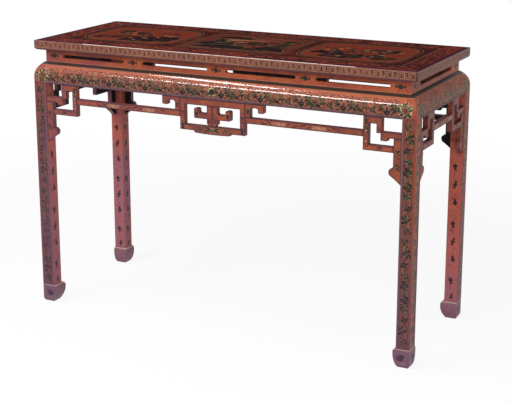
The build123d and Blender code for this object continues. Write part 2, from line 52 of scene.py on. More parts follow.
# places read from the frame
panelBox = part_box("top_panel")
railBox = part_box("top_rail_front")
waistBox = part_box("waist_front")
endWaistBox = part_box("waist_right")
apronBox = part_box("apron_front")
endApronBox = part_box("apron_right")
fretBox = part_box("fret_front_right")
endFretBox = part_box("fret_right_back")
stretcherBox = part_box("stretcher_front_right")
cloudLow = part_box("centre_frame_front")[0].z

table = {
    "legSquare": 42 * mm,
    "beadWide": 5 * mm,
    "beadProud": 1.2 * mm,
    "shoulderFlat": 19 * mm,      # plain height of an apron below its rounded shoulder
    "shoulderRadius": 52.2 * mm,
    "hoofHigh": 58 * mm,
    "paintRoom": 0.5 * mm,        # what the painted top stands below the top of the frame
    "paintedDeep": 1.5 * mm,      # how deep the points lie that are lowered for that
}
topHigh = panelBox[1].z
railLow = railBox[0].z
apronLow, apronHigh = apronBox[0].z, apronBox[1].z
# how far out the faces of the long sides and of the ends stand
legFaces = (-apronBox[0].y - table["beadProud"], endApronBox[1].x - table["beadProud"])
topFaces = (-railBox[0].y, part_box("top_rail_right")[1].x)


def eachSide(faces, reaches=None):
    # a side's name and turn, 0 or 1 for a long side or an end, how far out it stands, half its length
    for side, turn in sides.items():
        end = int(side in ("left", "right"))
        yield side, turn, end, faces[end], (reaches or faces[::-1])[end]


def eachHalf(faces):
    # the same for both halves of each side, with the half's name and its sign
    for side, turn, end, face, reach in eachSide(faces):
        for hand in (-1, 1):
            yield halfName(side, hand), turn, end, face, reach, hand


def halfName(side, hand):
    return f"{side}_{'acb'[hand + 1]}"


def link(name, data):
    body = bpy.data.objects.new(name, data)
    bpy.context.scene.collection.objects.link(body)
    return body


# the camera
camera = {
    "place": (1.748, -3.44, 1.472),
    "turn": (75.49, 0.0, 26.52),   # degrees
    "focal": 1270.0,               # in pixels of the picture
    "axis": (257.5, 165.5),        # where the lens axis meets the picture
    "picture": (512, 402),
    "sensor": 36.0,
    "far": 60.0,
}


def makeCamera(look):
    wide, high = look["picture"]
    lens = bpy.data.cameras.new("camera")
    lens.sensor_width = look["sensor"]
    lens.lens = look["focal"] * look["sensor"] / wide
    lens.shift_x = (wide / 2 - look["axis"][0]) / wide
    lens.shift_y = (look["axis"][1] - high / 2) / wide
    lens.clip_end = look["far"]
    body = link("camera", lens)
    body.location = look["place"]
    body.rotation_euler = [math.radians(a) for a in look["turn"]]
    bpy.context.scene.camera = body


makeCamera(camera)
print("camera placed")


# nodes
def put(tree, kind, inputs=None, **settings):
    # a node with its settings and inputs; a plain colour may leave out its alpha
    node = tree.nodes.new(kind)
    for key, value in settings.items():
        setattr(node, key, value)
    for key, value in (inputs or {}).items():
        socket = node.inputs[key]
        if isinstance(value, bpy.types.NodeSocket):
            tree.links.new(value, socket)
        else:
            plain = socket.type == "RGBA" and len(value) == 3
            socket.default_value = (*value, 1.0) if plain else value
    return node


def compute(tree, operation, first, second=0.0):
    return put(tree, "ShaderNodeMath", {0: first, 1: second}, operation=operation).outputs[0]


def times(tree, first, second):
    return compute(tree, "MULTIPLY", first, second)


def centred(tree, value):
    return compute(tree, "SUBTRACT", value, 0.5)


def blend(tree, share, first, second):
    return put(tree, "ShaderNodeMix", {0: share, 6: first, 7: second}, data_type="RGBA").outputs[2]


def remap(tree, value, low, high, start, end, kind="LINEAR"):
    ends = {"From Min": low, "From Max": high, "To Min": start, "To Max": end}
    return put(tree, "ShaderNodeMapRange", {"Value": value, **ends}, interpolation_type=kind).outputs[0]


def step(tree, value, low, high):
    return remap(tree, value, low, high, 0.0, 1.0, "SMOOTHSTEP")


def noiseOf(tree, place, scale, detail=4.0, rough=0.55):
    return put(tree, "ShaderNodeTexNoise",
               {"Vector": place, "Scale": scale, "Detail": detail, "Roughness": rough}).outputs[0]


def splitVector(tree, place):
    return put(tree, "ShaderNodeSeparateXYZ", {0: place}).outputs


def newMaterial(name):
    # the material, its tree, and the place on the object that its patterns follow
    material = bpy.data.materials.new(name)
    material.use_nodes = True
    tree = material.node_tree
    tree.nodes.clear()
    return material, tree, put(tree, "ShaderNodeTexCoord").outputs["Object"]


def shadeWith(tree, inputs):
    shader = put(tree, "ShaderNodeBsdfPrincipled", inputs)
    put(tree, "ShaderNodeOutputMaterial", {"Surface": shader.outputs[0]})


# lacquer
lacquerLook = {
    "light": (0.400, 0.088, 0.030),
    "dark": (0.225, 0.042, 0.022),
    "stain": (0.085, 0.024, 0.020),
    "worn": (0.36, 0.17, 0.12),
    "wornShare": 0.5,
    # painted shade: a mauve laid low down and towards the left, in place of the light falling off there
    "faded": (0.150, 0.064, 0.115),
    "fadeFrom": 0.78,      # height at which the mauve begins, lower to the right
    "fadeTo": 0.05,
    "fadeAcross": 0.30,
    "fadeWander": 0.7,
    "fadeShare": 0.9,
    "veil": (0.115, 0.055, 0.105),
    "veilShare": 0.45,
    "mottle": 11.0,
    "patchShare": 0.45,
    "stainShare": 0.6,
    "fleck": 420.0,
    "crackle": 190.0,
    "crackShare": 0.35,
    "roughLow": 0.32,
    "roughHigh": 0.55,
    "specular": 0.18,
    "ior": 1.48,
    "relief": 60.0,
    "reliefHigh": 0.4 * mm,
    "bump": 0.25,
    "wander": 1.2 * mm,
    "wanderScale": 55.0,
    "stripeSoft": 0.4 * mm,
    "thinning": 0.12,
    # between which values of its noise each effect sets in
    "tone": (0.34, 0.62), "patched": (0.42, 0.66), "stained": (0.54, 0.72), "flecked": (0.63, 0.72),
    "fleckedOver": (0.45, 0.62), "cracked": (0.05, 0.0), "crackedOver": (0.42, 0.6),
    "stripes": [],
}


def fadeOf(tree, place, broad, look):
    # painted shade: 0 high up, 1 near the floor and towards the left, where a mauve stands in for the light
    # falling off
    parts = splitVector(tree, place)
    high = compute(tree, "ADD", parts[2], times(tree, parts[0], look["fadeAcross"]))
    high = compute(tree, "ADD", high, times(tree, centred(tree, broad), look["fadeWander"]))
    return step(tree, high, look["fadeFrom"], look["fadeTo"])


def wornPlace(tree, place, look):
    # absolute x and y, and z, each let wander a little as a hand-drawn line does
    parts = splitVector(tree, place)
    drift = times(tree, centred(tree, noiseOf(tree, place, look["wanderScale"], 2.0)), look["wander"])
    places = [compute(tree, "ABSOLUTE", parts[0]), compute(tree, "ABSOLUTE", parts[1]), parts[2]]
    return {axis: compute(tree, "ADD", value, drift) for axis, value in zip("xyz", places)}


def stripeMask(tree, places, where, soft):
    mask = None
    for axis, (low, high) in where.items():
        above = step(tree, places[axis], low - soft, low + soft)
        inside = times(tree, above, step(tree, places[axis], high + soft, high - soft))
        mask = inside if mask is None else times(tree, mask, inside)
    return mask


def lacquer(name, **changes):
    look = {**lacquerLook, **changes}
    material, tree, place = newMaterial(name)
    mottle = look["mottle"]
    broad = noiseOf(tree, place, mottle, 6.0, 0.62)
    fine = noiseOf(tree, place, mottle * 9, 5.0, 0.6)
    patches = noiseOf(tree, place, mottle * 4.5, 7.0, 0.72)
    fleck = noiseOf(tree, place, look["fleck"], 3.0, 0.7)
    fade = fadeOf(tree, place, broad, look)
    rubbed = times(tree, step(tree, fleck, *look["flecked"]), step(tree, broad, *look["fleckedOver"]))
    colour = blend(tree, step(tree, broad, *look["tone"]), look["dark"], look["light"])
    layers = [
        # the mauve painted shade, low down and towards the left
        (fade, look["fadeShare"], look["faded"]),
        (step(tree, patches, *look["patched"]), look["patchShare"], look["dark"]),
        (step(tree, fine, *look["stained"]), look["stainShare"], look["stain"]),
        (rubbed, look["wornShare"], look["worn"]),   # flecks, where the top coat has thinned
    ]
    if look["stripes"]:
        places = wornPlace(tree, place, look)
        for line in look["stripes"]:
            mask = stripeMask(tree, places, line["where"], look["stripeSoft"])
            thin = step(tree, fine, line["thin"], line["thin"] + look["thinning"])
            layers.append((times(tree, mask, thin), line["share"], line["tint"]))
        # the painted shade's mauve veil again, over the stripes
        layers.append((fade, look["veilShare"], look["veil"]))
    crack = put(tree, "ShaderNodeTexVoronoi", {"Vector": place, "Scale": look["crackle"]},
                feature="DISTANCE_TO_EDGE").outputs[0]
    crack = times(tree, step(tree, crack, *look["cracked"]), step(tree, broad, *look["crackedOver"]))
    layers.append((crack, look["crackShare"], look["stain"]))
    for mask, share, tint in layers:
        colour = blend(tree, times(tree, mask, share), colour, tint)
    relief = noiseOf(tree, place, look["relief"], 5.0)
    relief = compute(tree, "SUBTRACT", relief, times(tree, crack, 0.5))
    bump = put(tree, "ShaderNodeBump", {"Height": relief, "Strength": look["bump"],
                                        "Distance": look["reliefHigh"]})
    shadeWith(tree, {
        "Base Color": colour, "Normal": bump.outputs[0], "IOR": look["ior"],
        "Specular IOR Level": look["specular"],
        "Roughness": remap(tree, fine, 0.3, 0.7, look["roughLow"], look["roughHigh"])})
    return material


def stripe(tint, share=0.95, thin=0.0, **where):
    # a painted stripe: thin says how much of it has worn through, where its range along each axis
    return {"tint": tint, "share": share, "thin": thin, "where": where}


shades = {
    "mauve": (0.150, 0.068, 0.080),
    "line": (0.040, 0.018, 0.028),
    "band": (0.030, 0.028, 0.022),
    "rose": (0.42, 0.17, 0.11),
    "pale": (0.560, 0.370, 0.310),
    "lit": (0.860, 0.720, 0.640),
    "purple": (0.048, 0.013, 0.030),
    "hoof": (0.185, 0.103, 0.138),
    "corner": (0.205, 0.038, 0.016),
    "frameLine": (0.022, 0.011, 0.014),
    "upper": (0.440, 0.105, 0.045),
    "vineGround": (0.155, 0.036, 0.022),
    "endGround": (0.190, 0.052, 0.030),
    "legGround": (0.088, 0.024, 0.018),
}
past, far = 0.01, 1.0          # a stripe runs this far past the wood, or as far as there is any
lineFrom, lineTo = 5.2 * mm, 6.8 * mm    # the dark line along an apron's foot and a leg's inner edge
# the rose line is a painted highlight along the lower edge of the dark band
roseFrom, roseTo = 8.6 * mm, 7.2 * mm    # the rose line below the waist, down from the apron's top
lay = {
    # where the other stripes lie, in from an edge of the wood
    "shaftFoot": 2 * mm, "vineHigh": 40 * mm, "vineGap": 1 * mm, "hoofHead": 3 * mm,
    "hoofPale": (4.5 * mm, 1 * mm), "waistRose": 2.2 * mm, "railFoot": 5 * mm, "railHead": 2.6 * mm,
    "arrisDown": 2.2 * mm, "arrisIn": 3 * mm, "arrisTo": 0.45, "rim": 15 * mm, "frameIn": 8 * mm,
    "frameLine": (9 * mm, 2 * mm),
}
hoofTop = table["hoofHigh"]
shaft = (hoofTop - lay["shaftFoot"], apronLow + table["beadWide"])
vineBand = (apronLow + lineTo, apronLow + lay["vineHigh"])
apronLines = [
    stripe(shades["line"], z=(apronLow + lineFrom, apronLow + lineTo)),
    # a rose line under the dark band, a painted highlight
    stripe(shades["rose"], 0.7, z=(apronHigh - roseFrom, apronHigh - roseTo)),
    stripe(shades["band"], z=(apronHigh - roseTo, apronHigh + past)),
]
upperBand = stripe(shades["upper"], 0.6, 0.2, z=(vineBand[1] + lay["vineGap"], apronHigh - roseFrom))
hoofStripes = [
    stripe(shades["hoof"], 0.65, z=(-past, hoofTop - lay["hoofHead"])),
    # a pale line under the hoof's head, a painted highlight on its ledge
    stripe(shades["pale"], 0.8, 0.25, z=tuple(hoofTop - down for down in lay["hoofPale"])),
]


def shaftStripe(axis, low, high, *look):
    # a stripe up a leg; low and high run from the inner edge of the face
    inner = legFaces["yx".index(axis)] - table["legSquare"]
    return stripe(*look, **{axis: (inner + low, inner + high)}, z=shaft)


cornerWide = table["beadWide"]
legCorner = table["legSquare"] - cornerWide
legStripes = [
    hoofStripes[0],
    stripe(shades["corner"], 0.9, x=(legFaces[1] - cornerWide, far), y=(legFaces[0] - cornerWide, far),
           z=shaft),
    shaftStripe("x", lineTo, legCorner, shades["legGround"], 0.78, 0.2),
    shaftStripe("y", lineTo, legCorner, shades["endGround"], 0.6, 0.2),
    *[shaftStripe(axis, -past, lineFrom, shades["mauve"], 0.95, 0.2) for axis in "xy"],
    *[shaftStripe(axis, lineFrom, lineTo, shades["line"]) for axis in "xy"],
    hoofStripes[1],
    *apronLines[1:],
]
railStripes = [
    stripe(shades["mauve"], 0.6, z=(railLow - past, railLow + lay["railFoot"])),
    stripe(shades["mauve"], 0.7, z=(topHigh - lay["railHead"], topHigh + past)),
    # a painted highlight along the middle of the front and back arrises
    stripe(shades["lit"], 0.95, 0.30, z=(topHigh - lay["arrisDown"], topHigh + past),
           y=(topFaces[0] - lay["arrisIn"], far), x=(-far, lay["arrisTo"])),
]
railInX, railInY = panelBox[1].x - lay["frameIn"], panelBox[1].y - lay["frameIn"]
lineIn, lineOut = lay["frameLine"]
topStripes = [
    *[stripe(shades["purple"], 0.9, 0.2, **{axis: (face - lay["rim"], far)})
      for axis, face in zip("yx", topFaces)],
    stripe(shades["frameLine"], y=(railInY - lineIn, railInY + lineOut), x=(-far, railInX)),
    stripe(shades["frameLine"], x=(railInX - lineIn, railInX + lineOut), y=(-far, railInY)),
]
topLook = {"stripes": topStripes, "fadeShare": 0.0, "specular": 0.0, "wander": 2.0 * mm}

finish = {
    "apron": lacquer("apronLacquer", light=(0.350, 0.082, 0.032), dark=(0.180, 0.040, 0.022), roughLow=0.06,
                     roughHigh=0.15, specular=0.50, bump=0.14,
                     stripes=[stripe(shades["vineGround"], 0.62, 0.2, z=vineBand), *apronLines, upperBand]),
    "apronEnd": lacquer("endApronLacquer", light=(0.34, 0.076, 0.032), specular=0.10,
                        stripes=[stripe(shades["endGround"], 0.6, 0.2, z=vineBand), *apronLines]),
    "leg": lacquer("legLacquer", stripes=legStripes),
    "legInner": lacquer("legInnerLacquer", light=(0.460, 0.108, 0.068), dark=(0.330, 0.074, 0.056),
                        faded=(0.36, 0.120, 0.140), veilShare=0.2, fadeFrom=0.5, mottle=8.0, patchShare=0.25,
                        stripes=hoofStripes),
    "bead": lacquer("beadLacquer", light=(0.090, 0.042, 0.052), dark=(0.042, 0.021, 0.029), mottle=30.0),
    # the waist's foot carries a rose line, a painted highlight
    "waist": lacquer("waistLacquer", light=(0.37, 0.082, 0.030),
                     stripes=[stripe(shades["rose"], 0.7, 0.3,
                                     z=(apronHigh - past, apronHigh + lay["waistRose"]))]),
    "fret": lacquer("fretLacquer", light=(0.275, 0.066, 0.030), dark=(0.150, 0.036, 0.024), mottle=16.0,
                    fadeShare=0.6, stainShare=0.85),
    "fretSide": lacquer("fretSideLacquer", light=(0.24, 0.055, 0.034), dark=(0.12, 0.030, 0.024)),
    "line": lacquer("paintedLine", light=(0.065, 0.024, 0.034), dark=(0.028, 0.013, 0.018), stainShare=0.3,
                    mottle=30.0),
    "edge": lacquer("topEdgeLacquer", light=(0.115, 0.030, 0.021), dark=(0.050, 0.017, 0.015), fadeShare=0.4,
                    mottle=14.0, specular=0.10, stripes=railStripes),
    "field": lacquer("topFieldLacquer", light=(0.105, 0.021, 0.014), dark=(0.034, 0.009, 0.008), **topLook),
    "top": lacquer("topFrameLacquer", light=(0.170, 0.033, 0.020), dark=(0.060, 0.014, 0.014), **topLook),
    "black": lacquer("blackLacquer", light=(0.014, 0.011, 0.012), dark=(0.006, 0.005, 0.006),
                     faded=(0.02, 0.014, 0.014), stain=(0.004, 0.003, 0.003), worn=(0.05, 0.02, 0.015),
                     roughLow=0.45, roughHigh=0.7, specular=0.08),
    "rubbed": lacquer("rubbedEdge", light=(0.26, 0.078, 0.044), dark=(0.120, 0.040, 0.030), mottle=40.0,
                      roughLow=0.25, roughHigh=0.45),
    "darkEdge": lacquer("darkEdge", light=(0.12, 0.045, 0.055), dark=(0.05, 0.022, 0.030), mottle=40.0),
}

woodLook = {
    "pale": (0.115, 0.052, 0.030), "dark": (0.050, 0.022, 0.014), "grime": (0.035, 0.018, 0.016),
    "along": (0.06, 1.0, 1.0), "grain": 60.0, "broad": 5.0, "bump": 0.4, "bumpHigh": 0.5 * mm,
}


def bareWood(name, look):
    # the unlacquered wood under the top and in the joints
    material, tree, place = newMaterial(name)
    drawn = put(tree, "ShaderNodeMapping", {"Vector": place, "Scale": look["along"]}).outputs[0]
    grain = noiseOf(tree, drawn, look["grain"], 6.0, 0.6)
    colour = blend(tree, step(tree, grain, 0.35, 0.65), look["dark"], look["pale"])
    colour = blend(tree, times(tree, noiseOf(tree, place, look["broad"], 3.0), 0.5), colour, look["grime"])
    bump = put(tree, "ShaderNodeBump", {"Height": grain, "Strength": look["bump"],
                                        "Distance": look["bumpHigh"]})
    shadeWith(tree, {"Base Color": colour, "Normal": bump.outputs[0],
                     "Roughness": step(tree, grain, 1.6, 0.1)})
    return material


paintLook = {
    "grime": (0.075, 0.028, 0.020), "thinned": (0.24, 0.062, 0.034), "broad": 26.0, "fine": 380.0,
    "gilding": 0.35, "roughLow": 0.28, "roughHigh": 0.5,
}


def paint(name, look, specular, veilShare):
    # brushwork takes its colour from the paint attribute; its alpha says how much gilt is in it
    material, tree, place = newMaterial(name)
    own = put(tree, "ShaderNodeAttribute", attribute_name="paint").outputs
    broad = noiseOf(tree, place, look["broad"], 5.0, 0.6)
    fine = noiseOf(tree, place, look["fine"], 4.0, 0.65)
    colour = own["Color"]
    layers = ((fine, 0.25, look["grime"]), (step(tree, broad, 0.54, 0.70), 0.35, look["thinned"]),
              # the mauve painted shade low down and to the left, as on the lacquer
              (fadeOf(tree, place, broad, lacquerLook), veilShare, lacquerLook["veil"]))
    for mask, share, tint in layers:
        colour = blend(tree, times(tree, mask, share), colour, tint)
    shadeWith(tree, {
        "Base Color": colour, "Metallic": times(tree, own["Alpha"], look["gilding"]),
        "IOR": lacquerLook["ior"], "Specular IOR Level": specular,
        "Roughness": remap(tree, fine, 0.3, 0.7, look["roughLow"], look["roughHigh"])})
    return material


finish["wood"] = bareWood("bareWood", woodLook)
finish["paint"] = paint("brushwork", paintLook, 0.12, 0.28)
finish["topPaint"] = paint("topBrushwork", paintLook, 0.0, 0.0)
print("materials made:", len(finish))


# the table's own pieces
dress = {
    "weld": 0.02 * mm,
    "flatAngle": 0.4,      # degrees
    "sharpAngle": 32.0,
    "round": 0.7 * mm,     # how far the arrises are rubbed round
    "roundSteps": 2,
    "lineWide": 2.6 * mm,  # the painted line round each fretted face
    "facing": 0.9,         # how squarely a face has to look one way, to belong to that side
    "behind": -0.5,
    "legFacing": 0.4,
    "fretted": ("fret_", "leg_board_", "stretcher_", "centre_frame_", "centre_scroll_", "crook_"),
}


def facing(side):
    return Matrix.Rotation(math.radians(sides[side]), 3, "Z") @ Vector((0, -1, 0))


def settle(piece):
    # the evaluated shape becomes the piece's plain mesh, and its modifiers go
    graph = bpy.context.evaluated_depsgraph_get()
    mesh = bpy.data.meshes.new_from_object(piece.evaluated_get(graph), preserve_all_data_layers=True,
                                           depsgraph=graph)
    mesh.name = piece.name
    piece.modifiers.clear()
    piece.data = mesh
    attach(piece, "root")


def dressNode(nodeName, slots, choose, lined=False):
    # a cleaned copy of the node takes its place: choose gives each face its finish, the last of the
    # slots goes on the rubbed arrises, and a lined piece has a painted line round its first finish
    shape = bmesh.new()
    shape.from_mesh(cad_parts[nodeName].data)
    bmesh.ops.remove_doubles(shape, verts=shape.verts, dist=dress["weld"])
    bmesh.ops.dissolve_limit(shape, angle_limit=math.radians(dress["flatAngle"]), verts=shape.verts,
                             edges=shape.edges)
    for face in shape.faces:
        face.smooth = True
        face.material_index = slots.index(choose(face))
    if lined:
        picked = [face for face in shape.faces if face.material_index == 0]
        ring = bmesh.ops.inset_region(shape, faces=picked, thickness=dress["lineWide"], depth=0.0,
                                      use_boundary=True, use_even_offset=True)
        for face in ring["faces"]:
            face.material_index = slots.index("line")
            face.smooth = True
    mesh = bpy.data.meshes.new(nodeName + "_lacquered")
    for slot in slots:
        mesh.materials.append(finish[slot])
    shape.to_mesh(mesh)
    shape.free()
    if "custom_normal" in mesh.attributes:
        mesh.attributes.remove(mesh.attributes["custom_normal"])
    mesh.set_sharp_from_angle(angle=math.radians(dress["sharpAngle"]))
    piece = link(nodeName + "_lacquered", mesh)
    softened = piece.modifiers.new("rubbed arrises", "BEVEL")
    softened.width = dress["round"]
    softened.segments = dress["roundSteps"]
    softened.limit_method = "ANGLE"
    softened.angle_limit = math.radians(dress["sharpAngle"])
    softened.material = len(slots) - 1
    softened.harden_normals = True
    settle(piece)
    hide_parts(nodeName)
    return piece


def dressFretwork():
    # spandrels, leg boards, stretchers, centre frames, scrolls and crooks
    made = [nodeName for nodeName in sorted(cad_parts) if nodeName.startswith(dress["fretted"])]
    for nodeName in made:
        outward = facing(next(word for word in nodeName.split("_") if word in sides))

        def choose(face):
            lean = face.normal.dot(outward)
            return "fret" if lean > dress["facing"] else "black" if lean < -dress["facing"] else "fretSide"

        dressNode(nodeName, ["fret", "line", "fretSide", "black", "darkEdge"], choose,
                  lined=True)
    print("fretwork dressed:", len(made))


def dressAprons():
    for side in sides:
        outward = facing(side)
        shown = "apron" if side in ("front", "back") else "apronEnd"

        def inside(face):
            return face.normal.dot(outward) < dress["behind"]

        def choose(face):
            low = face.calc_center_median().z < apronLow + table["beadWide"]
            return "black" if inside(face) else "bead" if low else shown

        dressNode("apron_" + side, [shown, "black", "bead"], choose)
        dressNode("waist_" + side, ["waist", "black", "rubbed"],
                  lambda face: "black" if inside(face) else "waist")
    print("aprons and waist dressed")


def dressLegs():
    for depth in ("front", "back"):
        for across in ("left", "right"):
            ways = [facing(depth), facing(across)]

            def choose(face):
                if any(face.normal.dot(way) > dress["legFacing"] for way in ways):
                    return "leg"
                return "wood" if face.normal.z < -dress["facing"] else "legInner"

            dressNode(f"leg_{depth}_{across}", ["leg", "legInner", "wood", "rubbed"], choose)
    print("legs dressed")


def dressTop():
    for nodeName in ("top_panel", "top_rail_front", "top_rail_back", "top_rail_left", "top_rail_right"):
        panel = nodeName == "top_panel"
        slotName, shown = ("top_panel_lacquer", "field") if panel else ("top_edge_lacquer", "top")

        def choose(face):
            up = face.normal.z
            return shown if up > dress["facing"] else "black" if up < -dress["facing"] else "edge"

        piece = dressNode(nodeName, [shown, "edge", "black", "rubbed"], choose)
        for point in piece.data.vertices:
            if point.co.z > topHigh - table["paintedDeep"]:
                point.co.z -= table["paintRoom"]
    for place in ("left", "middle", "right"):
        dressNode("top_batten_" + place, ["wood"], lambda face: "wood")
    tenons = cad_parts["loose_tenons"]
    tenons.data.materials.clear()
    tenons.data.materials.append(finish["wood"])
    print("top dressed")


dressFretwork()
dressAprons()
dressLegs()
dressTop()


# brushwork drawn flat, in millimetres
tints = {
    "green": (0.016, 0.030, 0.019, 0.0),
    "pine": (0.013, 0.020, 0.013, 0.0),
    "black": (0.012, 0.010, 0.012, 0.0),
    "brown": (0.120, 0.026, 0.020, 0.0),
    "purple": (0.070, 0.030, 0.052, 0.0),
    "gilt": (0.400, 0.230, 0.090, 0.8),
    "cream": (0.660, 0.540, 0.310, 0.5),
    "orange": (0.400, 0.100, 0.032, 0.0),
    "tan": (0.310, 0.150, 0.085, 0.2),
    "worn": (0.370, 0.205, 0.135, 0.2),
    "moss": (0.075, 0.078, 0.032, 0.0),
    "fretLine": (0.340, 0.170, 0.105, 0.2),
    "mauve": (0.200, 0.105, 0.140, 0.0),
    "lilac": (0.340, 0.205, 0.250, 0.0),
    "slate": (0.030, 0.026, 0.044, 0.0),
    "ember": (0.250, 0.055, 0.028, 0.0),
    "ground": (0.165, 0.029, 0.017, 0.0),
    "dusk": (0.110, 0.022, 0.015, 0.0),
    "night": (0.014, 0.008, 0.011, 0.0),
    "ochre": (0.180, 0.100, 0.045, 0.2),
}
brush = {
    # heights of the layers; each touch of the brush lies a little higher than the last, and after
    # "rounds" touches the lift starts again
    "sunk": 0.10, "under": 0.08, "over": 0.15, "bloom": 0.21, "top": 0.27, "lift": 0.0022, "rounds": 23,
    "slope": 0.12, "outline": 0.5,
}
origin = (0.0, 0.0)
quarter = math.pi / 2
headings = {-1: math.pi, 1: 0.0}   # the way out, for the left and the right half


def newSketch():
    return {"points": [], "faces": [], "tints": [], "touches": 0}


def lifted(sketch, height):
    sketch["touches"] += 1
    return height + brush["lift"] * (sketch["touches"] % brush["rounds"])


def awayFrom(spot, reach, angle, squash=1.0):
    return (spot[0] + reach * math.cos(angle), spot[1] + reach * squash * math.sin(angle))


def addPlate(sketch, ring, tint, height):
    # a closed plate: the foot ring is sunk in the lacquer and the top ring is drawn in
    first, count = len(sketch["points"]), len(ring)
    height = lifted(sketch, height)
    middle = [sum(p[axis] for p in ring) / count for axis in (0, 1)]
    reach = max(math.dist(p, middle) for p in ring)
    keep = max(0.3, 1 - brush["slope"] / max(reach, 0.2))
    sketch["points"] += [(x, y, -brush["sunk"]) for x, y in ring]
    sketch["points"] += [(middle[0] + (x - middle[0]) * keep, middle[1] + (y - middle[1]) * keep, height)
                         for x, y in ring]
    for i in range(count):
        j = (i + 1) % count
        sketch["faces"].append((first + i, first + j, first + count + j, first + count + i))
    sketch["faces"].append(tuple(first + count + i for i in range(count)))
    sketch["faces"].append(tuple(first + count - 1 - i for i in range(count)))
    sketch["tints"] += [tints[tint]] * (2 * count)


def addBlob(sketch, centre, long, wide, angle, tint, height, corners=7):
    ring = []
    for i in range(corners):
        a = math.tau * i / corners
        x, y = long * math.cos(a), wide * math.sin(a)
        ring.append((centre[0] + x * math.cos(angle) - y * math.sin(angle),
                     centre[1] + x * math.sin(angle) + y * math.cos(angle)))
    addPlate(sketch, ring, tint, height)


def addStroke(sketch, spine, widths, tint, height):
    # a ribbon with mitred corners, of one width or of one for each point; each row is foot, top, top, foot
    first, count = len(sketch["points"]), len(spine)
    height = lifted(sketch, height)
    if isinstance(widths, float):
        widths = [widths] * count
    ways = [(Vector(b) - Vector(a)).normalized() for a, b in zip(spine, spine[1:])]
    for i, (x, y) in enumerate(spine):
        before, after = ways[max(i - 1, 0)], ways[min(i, count - 2)]
        across = (before + after).orthogonal()
        if across.length < 1e-6:
            across = after.orthogonal()
        across.normalize()
        half = widths[i] / 2 / max(0.5, abs(across.dot(after.orthogonal())))
        crown = max(half - brush["slope"], half * 0.35)
        row = ((half, -brush["sunk"]), (crown, height), (-crown, height), (-half, -brush["sunk"]))
        for reach, level in row:
            sketch["points"].append((x + across.x * reach, y + across.y * reach, level))
    last = first + 4 * (count - 1)
    for a in range(first, last, 4):
        for k in range(4):
            j = (k + 1) % 4
            sketch["faces"].append((a + k, a + j, a + 4 + j, a + 4 + k))
    sketch["faces"].append((first, first + 3, first + 2, first + 1))
    sketch["faces"].append((last, last + 1, last + 2, last + 3))
    sketch["tints"] += [tints[tint]] * (4 * count)


def bend(start, middle, end, count):
    shares = [i / count for i in range(count + 1)]
    return [tuple((1 - t) ** 2 * a + 2 * t * (1 - t) * b + t * t * c for a, b, c in zip(start, middle, end))
            for t in shares]


def leafWidths(count, wide):
    return [max(0.3, wide * math.sin(math.pi * (0.08 + 0.86 * i / count)) ** 0.8) for i in range(count + 1)]


def addLeaf(sketch, start, angle, long, wide, curl, tint, outline="gilt", steps=4, edge=brush["outline"]):
    # a curled leaf with a gilt edge showing round it
    side = awayFrom(start, long * 0.5, angle)
    side = (side[0] - curl * long * math.sin(angle), side[1] + curl * long * math.cos(angle))
    spine = bend(start, side, awayFrom(start, long, angle), steps)
    widths = leafWidths(steps, wide)
    if outline:
        addStroke(sketch, spine, [w + 2 * edge for w in widths], outline, brush["under"])
    addStroke(sketch, spine, widths, tint, brush["over"])


def addBlossom(sketch, centre, radius, petals, turn, petalTint, heartTint, outline="gilt"):
    # open petals round a heart, each edged in gilt
    for tint, extra, height in ((outline, brush["outline"], brush["over"]), (petalTint, 0.0, brush["bloom"])):
        for i in range(petals):
            a = turn + math.tau * i / petals
            addBlob(sketch, awayFrom(centre, radius * 0.58, a), radius * 0.42 + extra,
                    radius * 1.05 / petals * 1.5 + extra, a, tint, height)
    rounds = ((0.62, petalTint, brush["bloom"], 10), (0.20, outline, brush["top"], 7),
              (0.12, heartTint, brush["top"] + 0.05, 5))
    for share, tint, height, corners in rounds:
        addBlob(sketch, centre, radius * share, radius * share, turn, tint, height, corners)


def sketchObject(name, sketch):
    mesh = bpy.data.meshes.new(name)
    mesh.from_pydata([[c * mm for c in p] for p in sketch["points"]], [], sketch["faces"])
    layer = mesh.attributes.new("paint", "FLOAT_COLOR", "POINT")
    for i, tint in enumerate(sketch["tints"]):
        layer.data[i].color = tint
    shape = bmesh.new()
    shape.from_mesh(mesh)
    bmesh.ops.recalc_face_normals(shape, faces=shape.faces)
    shape.to_mesh(mesh)
    shape.free()
    return link(name, mesh)


# the run: a motif repeated along a face
runInputs = {
    # each input's kind of socket, and its value where a run gives none
    "Geometry": ("Geometry", None), "Count": ("Int", 1), "Spacing": ("Float", 0.1), "Lean": ("Float", 0.0),
    "Along": ("Float", 0.0), "Up": ("Float", 0.0), "Alternate": ("Float", 0.0), "Wobble": ("Float", 0.0),
    "Seed": ("Int", 1), "Face": ("Float", 0.2), "Turn": ("Float", 0.0), "Section": ("Object", None),
    "Finish": ("Material", None),
}
wobbleScale = 38.0


def vectorOf(tree, x=0.0, y=0.0, z=0.0):
    return put(tree, "ShaderNodeCombineXYZ", {0: x, 1: y, 2: z}).outputs[0]


def vectorMath(tree, operation, first, second):
    key = "Scale" if operation == "SCALE" else 1
    return put(tree, "ShaderNodeVectorMath", {0: first, key: second}, operation=operation).outputs[0]


